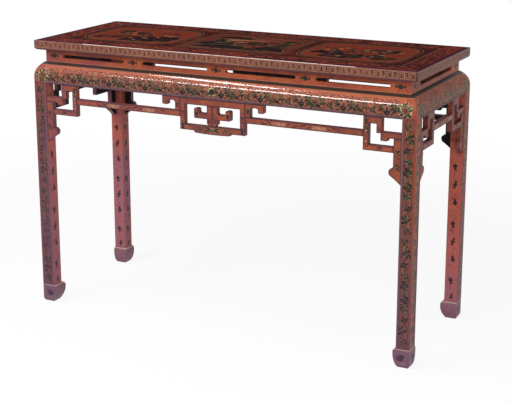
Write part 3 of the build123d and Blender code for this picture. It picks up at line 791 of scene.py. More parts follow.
def makeRunTree():
    tree = bpy.data.node_groups.new("paintedRun", "GeometryNodeTree")
    tree.is_modifier = True
    for name, (kind, start) in runInputs.items():
        socket = tree.interface.new_socket(name, in_out="INPUT", socket_type="NodeSocket" + kind)
        if start is not None:
            socket.default_value = start
    tree.interface.new_socket("Geometry", in_out="OUTPUT", socket_type="NodeSocketGeometry")
    given = put(tree, "NodeGroupInput").outputs

    def shape(kind, geometry, **inputs):
        return put(tree, "GeometryNode" + kind, {"Geometry": geometry, **inputs}).outputs[0]

    # the row of copies, centred on nothing, every other one turned about
    span = times(tree, compute(tree, "SUBTRACT", given["Count"], 1.0), given["Spacing"])
    row = put(tree, "GeometryNodeMeshLine", {
        "Count": given["Count"], "Start Location": vectorOf(tree, times(tree, span, -0.5)),
        "Offset": vectorOf(tree, given["Spacing"])})
    odd = compute(tree, "MODULO", put(tree, "GeometryNodeInputIndex").outputs[0], 2.0)
    swing = times(tree, times(tree, odd, given["Alternate"]), math.pi)
    copies = put(tree, "GeometryNodeInstanceOnPoints", {
        "Points": row.outputs[0], "Instance": given["Geometry"], "Rotation": vectorOf(tree, z=swing)})
    plain = shape("RealizeInstances", copies.outputs[0])
    # a slow noise keeps the copies from being alike
    position = put(tree, "GeometryNodeInputPosition").outputs[0]
    spot = vectorMath(tree, "ADD", position, vectorOf(tree, z=given["Seed"]))
    noise = put(tree, "ShaderNodeTexNoise", {"Vector": spot, "Scale": wobbleScale, "Detail": 1.0})
    shove = vectorMath(tree, "SUBTRACT", noise.outputs["Color"], (0.5, 0.5, 0.5))
    shove = vectorMath(tree, "MULTIPLY", shove, (1.0, 1.0, 0.0))
    moved = shape("SetPosition", plain, Offset=vectorMath(tree, "SCALE", shove, given["Wobble"]))
    laid = shape("Transform", moved, Translation=vectorOf(tree, given["Along"], given["Up"]),
                 Rotation=vectorOf(tree, z=given["Lean"]))
    # y runs up the section, z stands off it
    x, y, z = splitVector(tree, position)
    section = put(tree, "GeometryNodeObjectInfo", {"Object": given["Section"]}, transform_space="ORIGINAL")
    sample = put(tree, "GeometryNodeSampleCurve", {"Curves": section.outputs["Geometry"], "Length": y},
                 mode="LENGTH").outputs
    outward = vectorMath(tree, "CROSS_PRODUCT", (1.0, 0.0, 0.0), sample["Tangent"])
    place = vectorMath(tree, "ADD", sample["Position"], vectorOf(tree, x, times(tree, given["Face"], -1.0)))
    place = vectorMath(tree, "ADD", place, vectorMath(tree, "SCALE", outward, z))
    wrapped = shape("SetPosition", laid, Position=place)
    turned = shape("Transform", wrapped, Rotation=vectorOf(tree, z=given["Turn"]))
    painted = shape("SetMaterial", shape("RealizeInstances", turned), Material=given["Finish"])
    put(tree, "NodeGroupOutput", {0: painted})
    return tree


def makeSection(name, points):
    # points are (inward, up) from the foot of the face
    curve = bpy.data.curves.new(name, "CURVE")
    curve.dimensions = "3D"
    line = curve.splines.new("POLY")
    line.points.add(len(points) - 1)
    for point, (inward, up) in zip(line.points, points):
        point.co = (0.0, inward, up, 1.0)
    return link(name, curve)


def shoulderPoints(steps=28):
    flat, radius = table["shoulderFlat"], table["shoulderRadius"]
    full = math.asin((apronHigh - apronLow - flat) / radius)
    turns = [full * i / steps for i in range(steps + 1)]
    shoulder = apronLow + flat
    return [(0.0, apronLow), *[(radius * (1 - math.cos(a)), shoulder + radius * math.sin(a)) for a in turns]]


paintedTop = topHigh - table["paintRoom"]
sections = {
    "shoulder": makeSection("shoulderSection", shoulderPoints()),
    "upright": makeSection("uprightSection", [(0.0, 0.0), (0.0, 1.0)]),
    "flat": makeSection("flatSection", [(0.0, paintedTop), (1.0, paintedTop)]),
}
runTree = makeRunTree()
runSockets = {item.name: item.identifier for item in runTree.interface.items_tree if item.in_out == "INPUT"}


def paintRun(name, sketch, section, slotName, face, turn, **settings):
    piece = sketchObject(name, sketch)
    modifier = piece.modifiers.new("run", "NODES")
    modifier.node_group = runTree
    values = {key: start for key, (kind, start) in runInputs.items() if start is not None}
    values.update(settings, Face=face, Turn=math.radians(turn), Section=sections[section],
                  Finish=finish["topPaint" if section == "flat" else "paint"])
    for key, value in values.items():
        modifier[runSockets[key]] = value
    settle(piece)


# flowering vines
def addClump(sketch, centre, size, look, draw):
    # a dark blossom over a ruff of leaves
    count = draw.choice(look["ruff"])
    first = draw.uniform(0, 6)
    for i in range(count):
        a = first + math.tau * (i + draw.uniform(-0.2, 0.2)) / count
        start = awayFrom(centre, size * 0.25, a)
        way = a + draw.uniform(-0.6, 0.6)
        room = (look["half"] + 1.0 - abs(start[1])) / max(abs(math.sin(way)), 0.05)
        addLeaf(sketch, start, way, max(2.5, min(room, size * draw.uniform(0.45, 1.10))),
                size * draw.uniform(0.50, 0.85), draw.uniform(-0.45, 0.45), draw.choice(look["leafTints"]),
                draw.choice(look["outlines"]))
    heart = (centre[0] + size * draw.uniform(-0.25, 0.25), centre[1] + size * draw.uniform(-0.15, 0.15))
    addBlossom(sketch, heart, size * look["blossom"] * draw.uniform(0.75, 1.1), draw.choice((5, 6)), first,
               draw.choice(look["petalTints"]), draw.choice(look["hearts"]), look["outlines"][0])


def growVine(look, seed):
    # a waving stem with a clump in each hollow, and small leaves and buds over the rest of the band
    draw = random.Random(seed)
    sketch = newSketch()
    long, half, cell = look["long"], look["half"], look["cell"]
    pitch = long / look["count"]
    along = [-long / 2 + pitch * i / 6 for i in range(look["count"] * 6 + 1)]
    stem = [(u, look["wave"] * math.cos(math.pi * (u + long / 2) / pitch)) for u in along]
    addStroke(sketch, stem, look["stem"], look["stemTint"], brush["under"] + 0.02)
    clumps = []
    for i in range(look["count"]):
        u = -long / 2 + pitch * (i + 0.5) + draw.uniform(-1.5, 1.5)
        v = (1 if i % 2 else -1) * half * look["sway"] * draw.uniform(0.5, 1.2)
        clumps.append(((u, v), look["clump"] * draw.uniform(0.65, 1.20)))
    columns, rows = round(long / cell), round(2 * half / cell)
    for i in range(columns):
        for j in range(rows):
            spot = (-long / 2 + (i + 0.5 + draw.uniform(-0.4, 0.4)) * long / columns,
                    (j + 0.5 - rows / 2 + draw.uniform(-0.3, 0.3)) * 2 * half / rows)
            if any(math.dist(spot, centre) < size * 0.9 for centre, size in clumps):
                continue
            if draw.random() < look["budShare"]:
                addBlob(sketch, spot, draw.uniform(0.9, 1.9), draw.uniform(0.7, 1.4), draw.uniform(0, 3),
                        draw.choice(look["budTints"]), brush["over"], 6)
                continue
            size = draw.uniform(0.75, 1.2) * look["leafLong"]
            lean = math.asin(max(-1.0, min(1.0, (half - abs(spot[1])) / size)))
            angle = draw.choice((0.0, math.pi)) + draw.uniform(-lean, lean)
            addLeaf(sketch, awayFrom(spot, -size / 2, angle), angle, size,
                    draw.uniform(0.8, 1.2) * look["leafWide"], draw.uniform(-0.3, 0.3),
                    draw.choice(look["smallTints"]), draw.choice(look["outlines"]))
    for centre, size in clumps:
        addClump(sketch, centre, size, look, draw)
    return sketch


apronVine = {
    "long": 124.0, "count": 6, "half": 16.5, "cell": 7.4, "wave": 9.0, "sway": 0.36, "stem": 1.0,
    "clump": 11.0, "blossom": 0.62, "ruff": (6, 7), "leafLong": 9.0, "leafWide": 4.6, "budShare": 0.26,
    "stemTint": "gilt", "outlines": ("gilt", "ember", "gilt", "worn"),
    "petalTints": ("black", "green", "black"), "leafTints": ("green", "black", "black", "green"),
    "hearts": ("orange", "brown"), "smallTints": ("black", "green", "black", "brown", "moss"),
    "budTints": ("gilt", "cream", "black", "orange"),
    "low": 22.6 * mm,              # the vine's middle, up the section from the apron's lower edge
    "bare": (40 * mm, 10 * mm),    # what it leaves bare of a long side and of an end
    "wobble": 2.6 * mm,
}
legVine = {
    **apronVine, "long": 164.0, "count": 5, "half": 15.0, "cell": 6.8, "wave": 8.0, "sway": 0.34, "stem": 1.1,
    "clump": 13.5, "blossom": 0.58, "leafLong": 9.5, "leafWide": 4.4, "budShare": 0.24,
    "outlines": ("worn", "ember", "gilt"), "smallTints": ("brown", "black", "green", "purple", "black"),
    "budTints": ("gilt", "orange", "black"), "hearts": ("orange", "brown", "gilt"),
    "in": 21.0 * mm,    # from the leg's outer corner to the middle of the vine
    "from": 64 * mm, "to": 722 * mm, "wobble": 2.0 * mm,
}
endTints = {
    "petalTints": ("brown", "green", "purple"), "leafTints": ("brown", "purple", "moss", "green"),
    "smallTints": ("brown", "orange", "purple"), "outlines": ("tan", "brown", "gilt"), "cell": 12.0,
}
apronSprigs = {
    **apronVine, "half": 5.5, "cell": 7.0, "wave": 2.0, "sway": 0.4, "clump": 4.0, "ruff": (3, 4),
    "leafLong": 7.5, "leafWide": 2.8, "stem": 0.7, "outlines": ("brown", "tan"), "petalTints": ("brown",),
    "leafTints": ("brown", "green"), "smallTints": ("brown", "ember", "brown", "green"),
    "budTints": ("brown", "tan"), "hearts": ("tan",), "low": 47.5 * mm,
}


def paintAprons():
    reaches = (apronBox[1].x, endApronBox[1].y)
    for number, (side, turn, end, face, reach) in enumerate(eachSide(legFaces, reaches)):
        spread = 2 * reach - apronVine["bare"][end]
        count = round(spread / (apronVine["long"] * mm))
        stretch = spread / count / (apronVine["long"] * mm)
        look = {**apronVine, **endTints} if end else apronVine
        for name, kind, seed in (("apron_vine_", look, 11), ("apron_sprigs_", apronSprigs, 15)):
            sketch = growVine(kind, seed + number)
            sketch["points"] = [(x * stretch, y, z) for x, y, z in sketch["points"]]
            paintRun(name + side, sketch, "shoulder", "apron_lacquer", face, turn, Count=count,
                     Spacing=spread / count, Up=kind["low"], Wobble=kind["wobble"], Seed=3 + number)
    print("apron vines painted")


def paintLegs():
    low, high = legVine["from"], legVine["to"]
    count = round((high - low) / (legVine["long"] * mm))
    for number, (half, turn, end, face, reach, hand) in enumerate(eachHalf(legFaces), 1):
        sketch = growVine({**legVine, **endTints} if end else legVine, 40 + number)
        paintRun("leg_vine_" + half, sketch, "upright", "leg_lacquer", face, turn, Count=count,
                 Spacing=(high - low) / count, Lean=quarter, Along=hand * (reach - legVine["in"]),
                 Up=(low + high) / 2, Alternate=1.0, Wobble=legVine["wobble"], Seed=20 + number)
    print("leg vines painted")


paintAprons()
paintLegs()


# key fret round the top's edge
keyFret = {
    "pitch": 34.0, "high": 17.6, "line": 1.35, "gap": 3.5, "near": 1.6, "far": 1.0, "tint": "fretLine",
    "edge": 2.0, "edgeShare": 0.7, "middle": topHigh - 12.8 * mm, "bare": 8 * mm, "wobble": 0.5 * mm,
}


def keyPair(look):
    # two square hooks back to back
    sketch = newSketch()
    half, top = look["pitch"] / 2, look["high"] / 2
    near, far, gap = look["near"], half - look["far"], look["gap"]
    path = [(near, -top), (near, top), (far, top), (far, -top), (near + gap, -top), (near + gap, top - gap),
            (far - gap, top - gap), (far - gap, gap - top)]
    for hand in (-1, 1):
        addStroke(sketch, [(hand * x, hand * y) for x, y in path], look["line"], look["tint"], brush["over"])
        level = hand * (top + look["edge"])
        addStroke(sketch, [(-half, level), (half, level)], look["line"] * look["edgeShare"], look["tint"],
                  brush["under"])
    return sketch


def paintKeyFret():
    for side, turn, end, face, reach in eachSide(topFaces):
        spread = 2 * reach - keyFret["bare"]
        count = round(spread / (keyFret["pitch"] * mm))
        paintRun("key_fret_" + side, keyPair(keyFret), "upright", "top_edge_lacquer", face, turn, Count=count,
                 Spacing=spread / count, Up=keyFret["middle"], Wobble=keyFret["wobble"], Seed=5)
    print("key fret painted")


paintKeyFret()


# large blooms, sprigs and sprays
bloom = {
    "radius": 14.0, "outline": 0.6, "petals": (9, 6), "petalTints": ("green", "brown"),
    "leaves": (13, 9), "leafReach": (1.05, 0.75), "leafLong": 13.0, "leafWide": 7.0,
    "leafTints": ("green", "black", "moss", "green"), "curls": 13, "heart": "orange",
    "petalEdge": "gilt", "eye": 0.30, "darts": 0,
    "in": 33 * mm, "up": 25 * mm, "wobble": 1.5 * mm,
}
centreBloom = {
    **bloom, "radius": 10.5, "petals": (8,), "petalTints": ("black",), "leaves": (11, 7), "leafLong": 7.0,
    "leafWide": 4.0, "heart": "green", "leafTints": ("moss", "green"), "petalEdge": "moss", "eye": 0.45,
    "darts": 15, "curls": 6, "up": 24 * mm,
}


def addBloom(sketch, centre, look, edge, seed):
    # a full peony: rings of petals inside one another over two rings of leaves
    draw = random.Random(seed)
    radius = look["radius"]

    def around(i, count, jitter):
        return math.tau * (i + draw.uniform(-jitter, jitter)) / count

    for leaves, reach in zip(look["leaves"], look["leafReach"]):
        for i in range(leaves):
            a = around(i, leaves, 0.3)
            start = awayFrom(centre, radius * reach * draw.uniform(0.8, 1.15), a, 0.85)
            addLeaf(sketch, start, a + draw.uniform(-0.9, 0.9), look["leafLong"] * draw.uniform(0.7, 1.1),
                    look["leafWide"] * draw.uniform(0.8, 1.1), draw.uniform(-0.4, 0.4),
                    draw.choice(look["leafTints"]), edge, 5, look["outline"])
    for i in range(look["curls"]):
        a = around(i, look["curls"], 0.3)
        start = awayFrom(centre, radius * draw.uniform(0.75, 1.25), a, 0.85)
        addLeaf(sketch, start, a + draw.choice((-1.1, 1.1)), radius * 0.6, 1.8, draw.choice((-0.5, 0.5)),
                edge, None, 6)
    for ring, (petals, tint) in enumerate(zip(look["petals"], look["petalTints"])):
        reach = radius * (0.92 - 0.28 * ring)
        level = brush["top"] + 0.11 * ring
        coats = ((look["outline"], look["petalEdge"], level), (0.0, tint, level + 0.055))
        for extra, shade, height in coats:
            for i in range(petals):
                a = math.tau * (i + 0.5 * ring) / petals
                addBlob(sketch, awayFrom(centre, reach * 0.68, a), reach * 0.34 + extra,
                        reach * 2.0 / petals + extra, a, shade, height, 8)
    addBlob(sketch, centre, radius * look["eye"], radius * look["eye"], 0.0, "black", brush["top"] + 0.22, 12)
    addBlob(sketch, centre, radius * 0.14, radius * 0.14, 0.0, look["heart"], brush["top"] + 0.28, 7)
    for i in range(look["darts"]):
        a = around(i, look["darts"], 0.2)
        start = awayFrom(centre, radius * draw.uniform(0.82, 1.0), a)
        addLeaf(sketch, start, a + draw.uniform(-0.9, 0.9), draw.uniform(3.5, 5.5), 2.2, 0.2, edge, None, 5)


def addSpray(sketch, centre, angle, long, leafTint, outline=None, leaves=5, bud=None):
    # a fan of plump leaves on a short stem, with a bud at its tip
    foot, tip = awayFrom(centre, -long * 0.45, angle), awayFrom(centre, long * 0.25, angle)
    stem = bend(foot, (centre[0] + 1.0, centre[1] + 0.6), tip, 4)
    addStroke(sketch, stem, [1.2, 1.2, 1.1, 1.0, 0.8], leafTint, brush["under"])
    for i in range(leaves):
        t = (i + 0.5) / leaves
        side = 1 if i % 2 else -1
        addLeaf(sketch, tuple(a + (b - a) * t for a, b in zip(foot, tip)), angle + side * (1.0 - 0.6 * t),
                long * 0.42, long * 0.20, side * 0.15, leafTint, outline)
    if bud:
        addBlob(sketch, tip, long * 0.16, long * 0.13, angle, bud, brush["over"] + 0.03)


def addPalmette(sketch, centre, angle, long, tint, second=None, outline=None):
    # a close bunch of leaves: three fan forwards, two smaller ones back
    fan = ((-0.55, 0.50), (0.0, 0.62), (0.55, 0.50), (math.pi - 0.45, 0.36), (math.pi + 0.45, 0.36))
    for turn, reach in fan:
        addLeaf(sketch, centre, angle + turn, long * reach, long * 0.26, 0.0,
                second if second and abs(turn) > 2 else tint, outline, 5)
    addBlob(sketch, centre, long * 0.17, long * 0.15, angle, tint, brush["over"] + 0.03, 9)


def paintBlooms():
    for side, turn, end, face, reach in eachSide(legFaces):
        for hand in (-1, 1):
            sketch = newSketch()
            addBloom(sketch, origin, bloom, "gilt" if end else "cream", 60 + hand)
            paintRun("shoulder_bloom_" + halfName(side, hand), sketch, "shoulder", "leg_lacquer", face, turn,
                     Along=hand * (reach - bloom["in"]), Up=bloom["up"], Wobble=bloom["wobble"],
                     Seed=70 + hand)
        if not end:
            sketch = newSketch()
            addBloom(sketch, origin, centreBloom, "cream", 8)
            paintRun("centre_bloom_" + side, sketch, "shoulder", "apron_lacquer", face, turn,
                     Up=centreBloom["up"])
    print("blooms painted")


waistSprays = {
    "apart": 9.0, "leaf": 15.0, "blossom": 8.5, "counts": (5, 2), "end": 31 * mm, "wobble": 1.0 * mm,
    "faces": (-waistBox[0].y, endWaistBox[1].x), "reaches": (waistBox[1].x, endWaistBox[1].y),
}


def paintWaist():
    look = waistSprays
    for side, turn, end, face, reach in eachSide(look["faces"], look["reaches"]):
        sketch = newSketch()
        for hand in (-1, 1):
            addPalmette(sketch, (hand * look["apart"], 0.0), headings[hand], look["leaf"], "green")
        addBlossom(sketch, origin, look["blossom"], 6, 0.2, "black", "brown", "brown")
        count = look["counts"][end]
        paintRun("waist_sprays_" + side, sketch, "upright", "waist_lacquer", face, turn, Count=count,
                 Spacing=(reach - look["end"]) * 2 / (count - 1), Up=(apronHigh + railLow) / 2, Alternate=1.0,
                 Wobble=look["wobble"], Seed=31)
    print("waist painted")


innerSprays = {"count": 5, "apart": 92 * mm, "middle": 0.300, "in": 21 * mm, "wobble": 2.0 * mm}


def paintInnerLegs():
    # sparse sprays down the faces that look inwards
    look = innerSprays
    for half, turn, end, face, reach, hand in eachHalf(legFaces):
        sketch = newSketch()
        addPalmette(sketch, (6.0, 1.5), 0.15, 25.0, "black", "brown")
        addPalmette(sketch, (-40.0, -2.0), 3.0, 21.0, "green", "black")
        addLeaf(sketch, (-18.0, -1.0), 0.3, 14.0, 2.2, 0.25, "brown", None)
        paintRun("inner_sprays_" + half, sketch, "upright", "leg_lacquer", table["legSquare"] - face, turn,
                 Count=look["count"], Spacing=look["apart"], Lean=quarter, Along=hand * (reach - look["in"]),
                 Up=look["middle"], Alternate=1.0, Wobble=look["wobble"], Seed=80 + hand)
    print("inner faces painted")


fretFlowers = {
    "apart": 0.125, "along": 0.28,           # the flowers on a stretcher, and how far out it is
    "boardIn": 19 * mm, "boardDown": 4 * mm,
    "postIn": 9 * mm, "cloudUp": 13 * mm,
    # leaves of a centre fret: along, up, length and two tints
    "cloud": ((99.0, 5.0, 22.0, "slate", "black"), (52.0, 43.0, 17.0, "black", "purple"),
              (9.5, 28.0, 17.0, "brown", "black"), (117.5, 66.0, 18.0, "green", "black")),
}


def sketchStretcher(ends):
    sketch = newSketch()
    for k in (-1, 1):
        addSpray(sketch, (k * 13.0, 0.0), 0.1 if k > 0 else math.pi - 0.1, 18.0, "worn", None, 4)
        addStroke(sketch, [(k * 24.0, -5.0), (k * 30.0, 1.0), (k * 40.0, 5.0)], [2.0, 4.5, 2.0], "purple",
                  brush["under"])
        if ends:
            addStroke(sketch, [(k * 38.0, -5.0), (k * 50.0, -3.0), (k * 62.0, 2.0)], [1.5, 3.5, 1.5], "black",
                      brush["under"])
    addBlossom(sketch, origin, 6.0, 5, 0.3, "worn", "brown")
    return sketch


def sketchBoard(hand):
    sketch = newSketch()
    addSpray(sketch, origin, quarter - 0.2 * hand, 34.0, "brown", "tan", 5, "green")
    addSpray(sketch, (2.0 * hand, -36.0), 0.2 - quarter, 24.0, "green", None, 4, "brown")
    return sketch


def sketchPost(hand):
    sketch = newSketch()
    addSpray(sketch, origin, quarter, 24.0, "brown", None, 4, "worn")
    addSpray(sketch, (0.0, 42.0), -quarter, 22.0, "green", None, 4, "worn")
    addPalmette(sketch, (0.0, 62.0), quarter, 20.0, "green", "black")
    addPalmette(sketch, (hand * 40.0, -9.0), headings[hand], 18.0, "brown", "black")
    return sketch


def sketchCloud():
    sketch = newSketch()
    addBlossom(sketch, origin, 7.5, 6, 0.0, "green", "orange", "cream")
    for k in (-1, 1):
        for tilt in (-0.35, 0.3):
            addLeaf(sketch, (k * 5.0, 0.0), headings[k] + tilt, 22.0, 7.0, 0.2 * k, "green")
        addSpray(sketch, (k * 42.0, 1.0), headings[k], 24.0, "green", "tan", 4)
        addSpray(sketch, (k * 99.0, 42.0), quarter, 26.0, "brown", None, 4, "green")
        for along, up, long, tint, second in fretFlowers["cloud"]:
            addPalmette(sketch, (k * along, up), quarter, long, tint, second)
    return sketch


def paintFrets():
    # gilt flowers along the stretchers, leaves on the posts, and the spray on each cloud drop
    look = fretFlowers
    low, stretcherLow, stretcherHigh = fretBox[0].z, stretcherBox[0].z, stretcherBox[1].z
    faces, outers = (-fretBox[0].y, endFretBox[1].x), (fretBox[1].x, endFretBox[1].y)
    for side, turn, end, face, outer in eachSide(faces, outers):
        inner = (fretBox[0].x, endFretBox[0].y)[end]

        def paintHalf(name, hand, sketch, **settings):
            paintRun(name + halfName(side, hand), sketch, "upright", "fret_lacquer", face, turn, **settings)

        for hand in (0,) if end else (-1, 1):
            paintHalf("stretcher_flowers_", hand, sketchStretcher(hand), Count=2, Spacing=look["apart"],
                      Along=hand * look["along"], Up=(stretcherLow + stretcherHigh) / 2, Alternate=1.0,
                      Seed=5)
        for hand in (-1, 1):
            paintHalf("board_sprays_", hand, sketchBoard(hand), Along=hand * (outer - look["boardIn"]),
                      Up=low - look["boardDown"])
            paintHalf("post_sprays_", hand, sketchPost(hand), Along=hand * (inner + look["postIn"]),
                      Up=(low + stretcherLow) / 2)
        if not end:
            paintRun("cloud_spray_" + side, sketchCloud(), "upright", "fret_lacquer", face, turn,
                     Up=cloudLow + look["cloudUp"])
    print("fret flowers painted")


hoofCurl = {
    # one stem sweeps over the face; its leaves all lie the same way
    "stem": ((-19.0, -14.0), (-15.0, 12.0), (13.0, 13.0)), "stemWide": 1.6,
    "leaves": ((-17.0, 1.0, 0.10, 25.0), (-11.0, 8.0, -0.10, 24.0), (-13.0, -7.0, 0.20, 23.0)),
    "leafWide": 10.0, "curl": -0.22, "middle": 31 * mm, "in": 25 * mm, "wobble": 1.5 * mm,
    "dots": ((13.0, -3.0), (16.0, 8.0), (-17.0, -11.0), (9.0, -10.0)), "dot": 1.7,
    "lines": (-16.0, -21.0), "lineHalf": 16.0, "lineWide": 1.5,
}


def sketchHoof(look):
    sketch = newSketch()
    for number, (x, y, angle, size) in enumerate(look["leaves"]):
        addLeaf(sketch, (x, y), angle, size, look["leafWide"] - number, look["curl"], "slate", "mauve", 6)
    addStroke(sketch, bend(*look["stem"], 9), look["stemWide"], "mauve", brush["top"])
    for spot in look["dots"]:
        addBlob(sketch, spot, look["dot"], look["dot"], 0.0, "lilac", brush["over"], 8)
    half = look["lineHalf"]
    for level in look["lines"]:
        arc = bend((-half, level + 1.0), (0.0, level - 1.5), (half, level + 1.0), 8)
        addStroke(sketch, arc, look["lineWide"], "lilac", brush["over"])
    return sketch


def paintHooves():
    look = hoofCurl
    for half, turn, end, face, reach, hand in eachHalf(legFaces):
        sketch = sketchHoof(look)
        sketch["points"] = [(hand * x, y, z) for x, y, z in sketch["points"]]
        paintRun("hoof_leaves_" + half, sketch, "upright", "leg_lacquer", face, turn,
                 Along=hand * (reach - look["in"]), Up=look["middle"], Wobble=look["wobble"], Seed=90 + hand)
    print("hooves painted")


paintBlooms()
paintWaist()
paintInnerLegs()
paintFrets()
paintHooves()


# the painted top
picture = {
    "lobedMiddle": 369.0,      # how far along the lobed panels stand
    "lobedHalf": (162.0, 140.0),
    "centreHalf": (176.0, 142.0),
    "margin": 15.0,
    "layer": 0.012,
    # what lies inside what: the inset in millimetres, and its tint
    "borders": ((0.0, "ochre"), (2.0, "night"), (9.0, "ochre"), (11.0, None)),
    # a lobed panel's heaps of rock (along, up, size) and branches (along, up, lean, length)
    "heaps": ((-78, -66, 50), (56, -70, 44), (-104, -20, 34), (70, 30, 34), (-20, -88, 40)),
    "branches": ((-80, -58, 0.66, 140), (-72, -70, 0.14, 160), (-98, -30, 1.30, 84), (10, 20, 0.25, 90)),
    # the landscape's far hills and islets (foot, width, height, tint) and trees (foot, height)
    "hills": (((-74, 62), 150, 52, "night"), ((52, 78), 170, 36, "brown"), ((116, 66), 76, 34, "night")),
    "islets": (((-92, -62), 146, 80, "black"), ((-36, -116), 250, 64, "black"),
               ((96, -104), 138, 84, "night"), ((22, -22), 120, 34, "night"), ((112, 2), 90, 36, "pine")),
    "trees": (((-112, -20), 62), ((-84, -12), 52), ((-56, -40), 44), ((104, -56), 56), ((130, -62), 40),
              ((16, -8), 34), ((42, -8), 26), ((116, 24), 30), ((-20, -80), 40)),
    "wobble": 2.0 * mm,
}


def lobedRing(centre, half, inset=0.0, steps=12):
    # a long panel whose corners are drawn in brackets
    wide, high = half[0] - inset, half[1] - inset
    ring = []
    for i in range(4 * steps):
        t = math.tau * i / (4 * steps)
        c, s = math.cos(t), math.sin(t)
        swell = 1 + 0.055 * math.cos(4 * t) ** 2 - 0.03 * math.cos(8 * t)
        ring.append((centre[0] + math.copysign(abs(c) ** 0.42, c) * wide * swell,
                     centre[1] + math.copysign(abs(s) ** 0.42, s) * high * swell))
    return ring


def squareRing(centre, half, inset=0.0):
    wide, high = half[0] - inset, half[1] - inset
    return [(centre[0] + x * wide, centre[1] + y * high) for x, y in ((1, -1), (1, 1), (-1, 1), (-1, -1))]


def addPanel(sketch, ringOf, centre, half, ground):
    for number, (inset, tint) in enumerate(picture["borders"]):
        addPlate(sketch, ringOf(centre, half, inset), tint or ground, picture["layer"] * (number + 1))


def addHill(sketch, foot, wide, high, tint, draw, steps):
    # a rounded rise with a broken skyline and a gilt edge
    shares = [i / steps for i in range(steps + 1)]
    line = [(foot[0] - wide / 2 + wide * t,
             foot[1] + high * math.sin(math.pi * t) ** 0.8 * draw.uniform(0.75, 1.1)) for t in shares]
    low = [(foot[0] + wide / 2, foot[1] - 3), (foot[0] - wide / 2, foot[1] - 3)]
    addPlate(sketch, line + low, tint, brush["over"])
    addStroke(sketch, line, 2.0, "ochre", brush["top"])
    shore = bend(low[1], (foot[0], foot[1] - 9), low[0], 8)
    addStroke(sketch, shore, leafWidths(8, 5.0), "ochre", brush["under"])


def addTree(sketch, foot, high, draw):
    # a leaning trunk with clouds of needles
    tip = (foot[0] + draw.uniform(-0.3, 0.3) * high, foot[1] + high)
    addStroke(sketch, bend(foot, (foot[0] + draw.uniform(-4, 4), foot[1] + high / 2), tip, 4),
              [4.0, 3.4, 2.8, 2.0, 1.4], "black", brush["top"] + 0.02)
    for _ in range(6):
        t = draw.uniform(0.35, 1.05)
        spot = (foot[0] + (tip[0] - foot[0]) * t + draw.uniform(-16, 16), foot[1] + high * t)
        size = draw.uniform(9, 15)
        addBlob(sketch, spot, size + 1, size * 0.5 + 1, draw.uniform(-0.2, 0.2), "ochre",
                brush["top"] + 0.01, 9)
        addBlob(sketch, spot, size, size * 0.5, draw.uniform(-0.2, 0.2), draw.choice(("pine", "black")),
                brush["top"] + 0.06, 9)


def addRocks(sketch, foot, count, size, draw, middle, half):
    # a heap of boulders, kept inside the picture's border
    for _ in range(count):
        spot = [foot[0] + draw.uniform(-1, 1) * size * 1.5, foot[1] + draw.uniform(-0.5, 0.6) * size]
        long = size * draw.uniform(0.45, 0.85)
        for axis, centre in enumerate((middle, 0.0)):
            room = half[axis] - picture["margin"] - long
            spot[axis] = max(centre - room, min(centre + room, spot[axis]))
        turn = draw.uniform(0, 3)
        addBlob(sketch, spot, long + 1.2, long * 0.65 + 1.2, turn, "ochre", brush["under"], 8)
        addBlob(sketch, spot, long, long * 0.65, turn, draw.choice(("night", "black", "pine")),
                brush["over"], 8)


def addBranch(sketch, foot, angle, long, draw):
    # a flowering branch with side shoots
    spine = bend(foot, awayFrom(foot, long * 0.5, angle + 0.5), awayFrom(foot, long, angle), 7)
    addStroke(sketch, spine, [7.0 - 0.7 * i for i in range(8)], "black", brush["over"] + 0.03)
    for i, spot in enumerate(spine[1:]):
        way = angle + (1 if i % 2 else -1) * draw.uniform(0.5, 1.2)
        end = awayFrom(spot, long * draw.uniform(0.12, 0.24), way)
        addStroke(sketch, bend(spot, tuple((a + b) / 2 + 1.5 for a, b in zip(spot, end)), end, 3),
                  [3.0, 2.4, 1.8, 1.2], "black", brush["over"] + 0.02)
        for _ in range(4):
            tuft = (end[0] + draw.uniform(-7, 7), end[1] + draw.uniform(-7, 7))
            addLeaf(sketch, tuft, draw.uniform(0, 6.28), draw.uniform(14, 24), draw.uniform(7, 11),
                    draw.uniform(-0.3, 0.3), draw.choice(("pine", "black", "night")), "ochre")
        addBlossom(sketch, end, draw.uniform(8, 13), 5, draw.uniform(0, 1),
                   draw.choice(("brown", "ochre", "orange", "night")), "brown", "ochre")


def sketchLobed(hand, draw):
    # a spray of blossom growing out of rocks towards the outer end
    sketch = newSketch()
    middle, half = hand * picture["lobedMiddle"], picture["lobedHalf"]
    addPanel(sketch, lobedRing, (middle, 0.0), half, "ground")
    for along, up, size in picture["heaps"]:
        addRocks(sketch, (middle + along * hand, up), 8, size, draw, middle, half)
    for along, up, lean, long in picture["branches"]:
        addBranch(sketch, (middle + along * hand, up), headings[hand] + hand * lean, long, draw)
    for _ in range(22):
        spot = (middle + draw.uniform(-125, 125), draw.uniform(-95, 95))
        addBlob(sketch, spot, draw.uniform(2, 5), draw.uniform(1.5, 3), draw.uniform(0, 3),
                draw.choice(("ochre", "brown", "night")), brush["under"] + 0.02, 6)
    return sketch


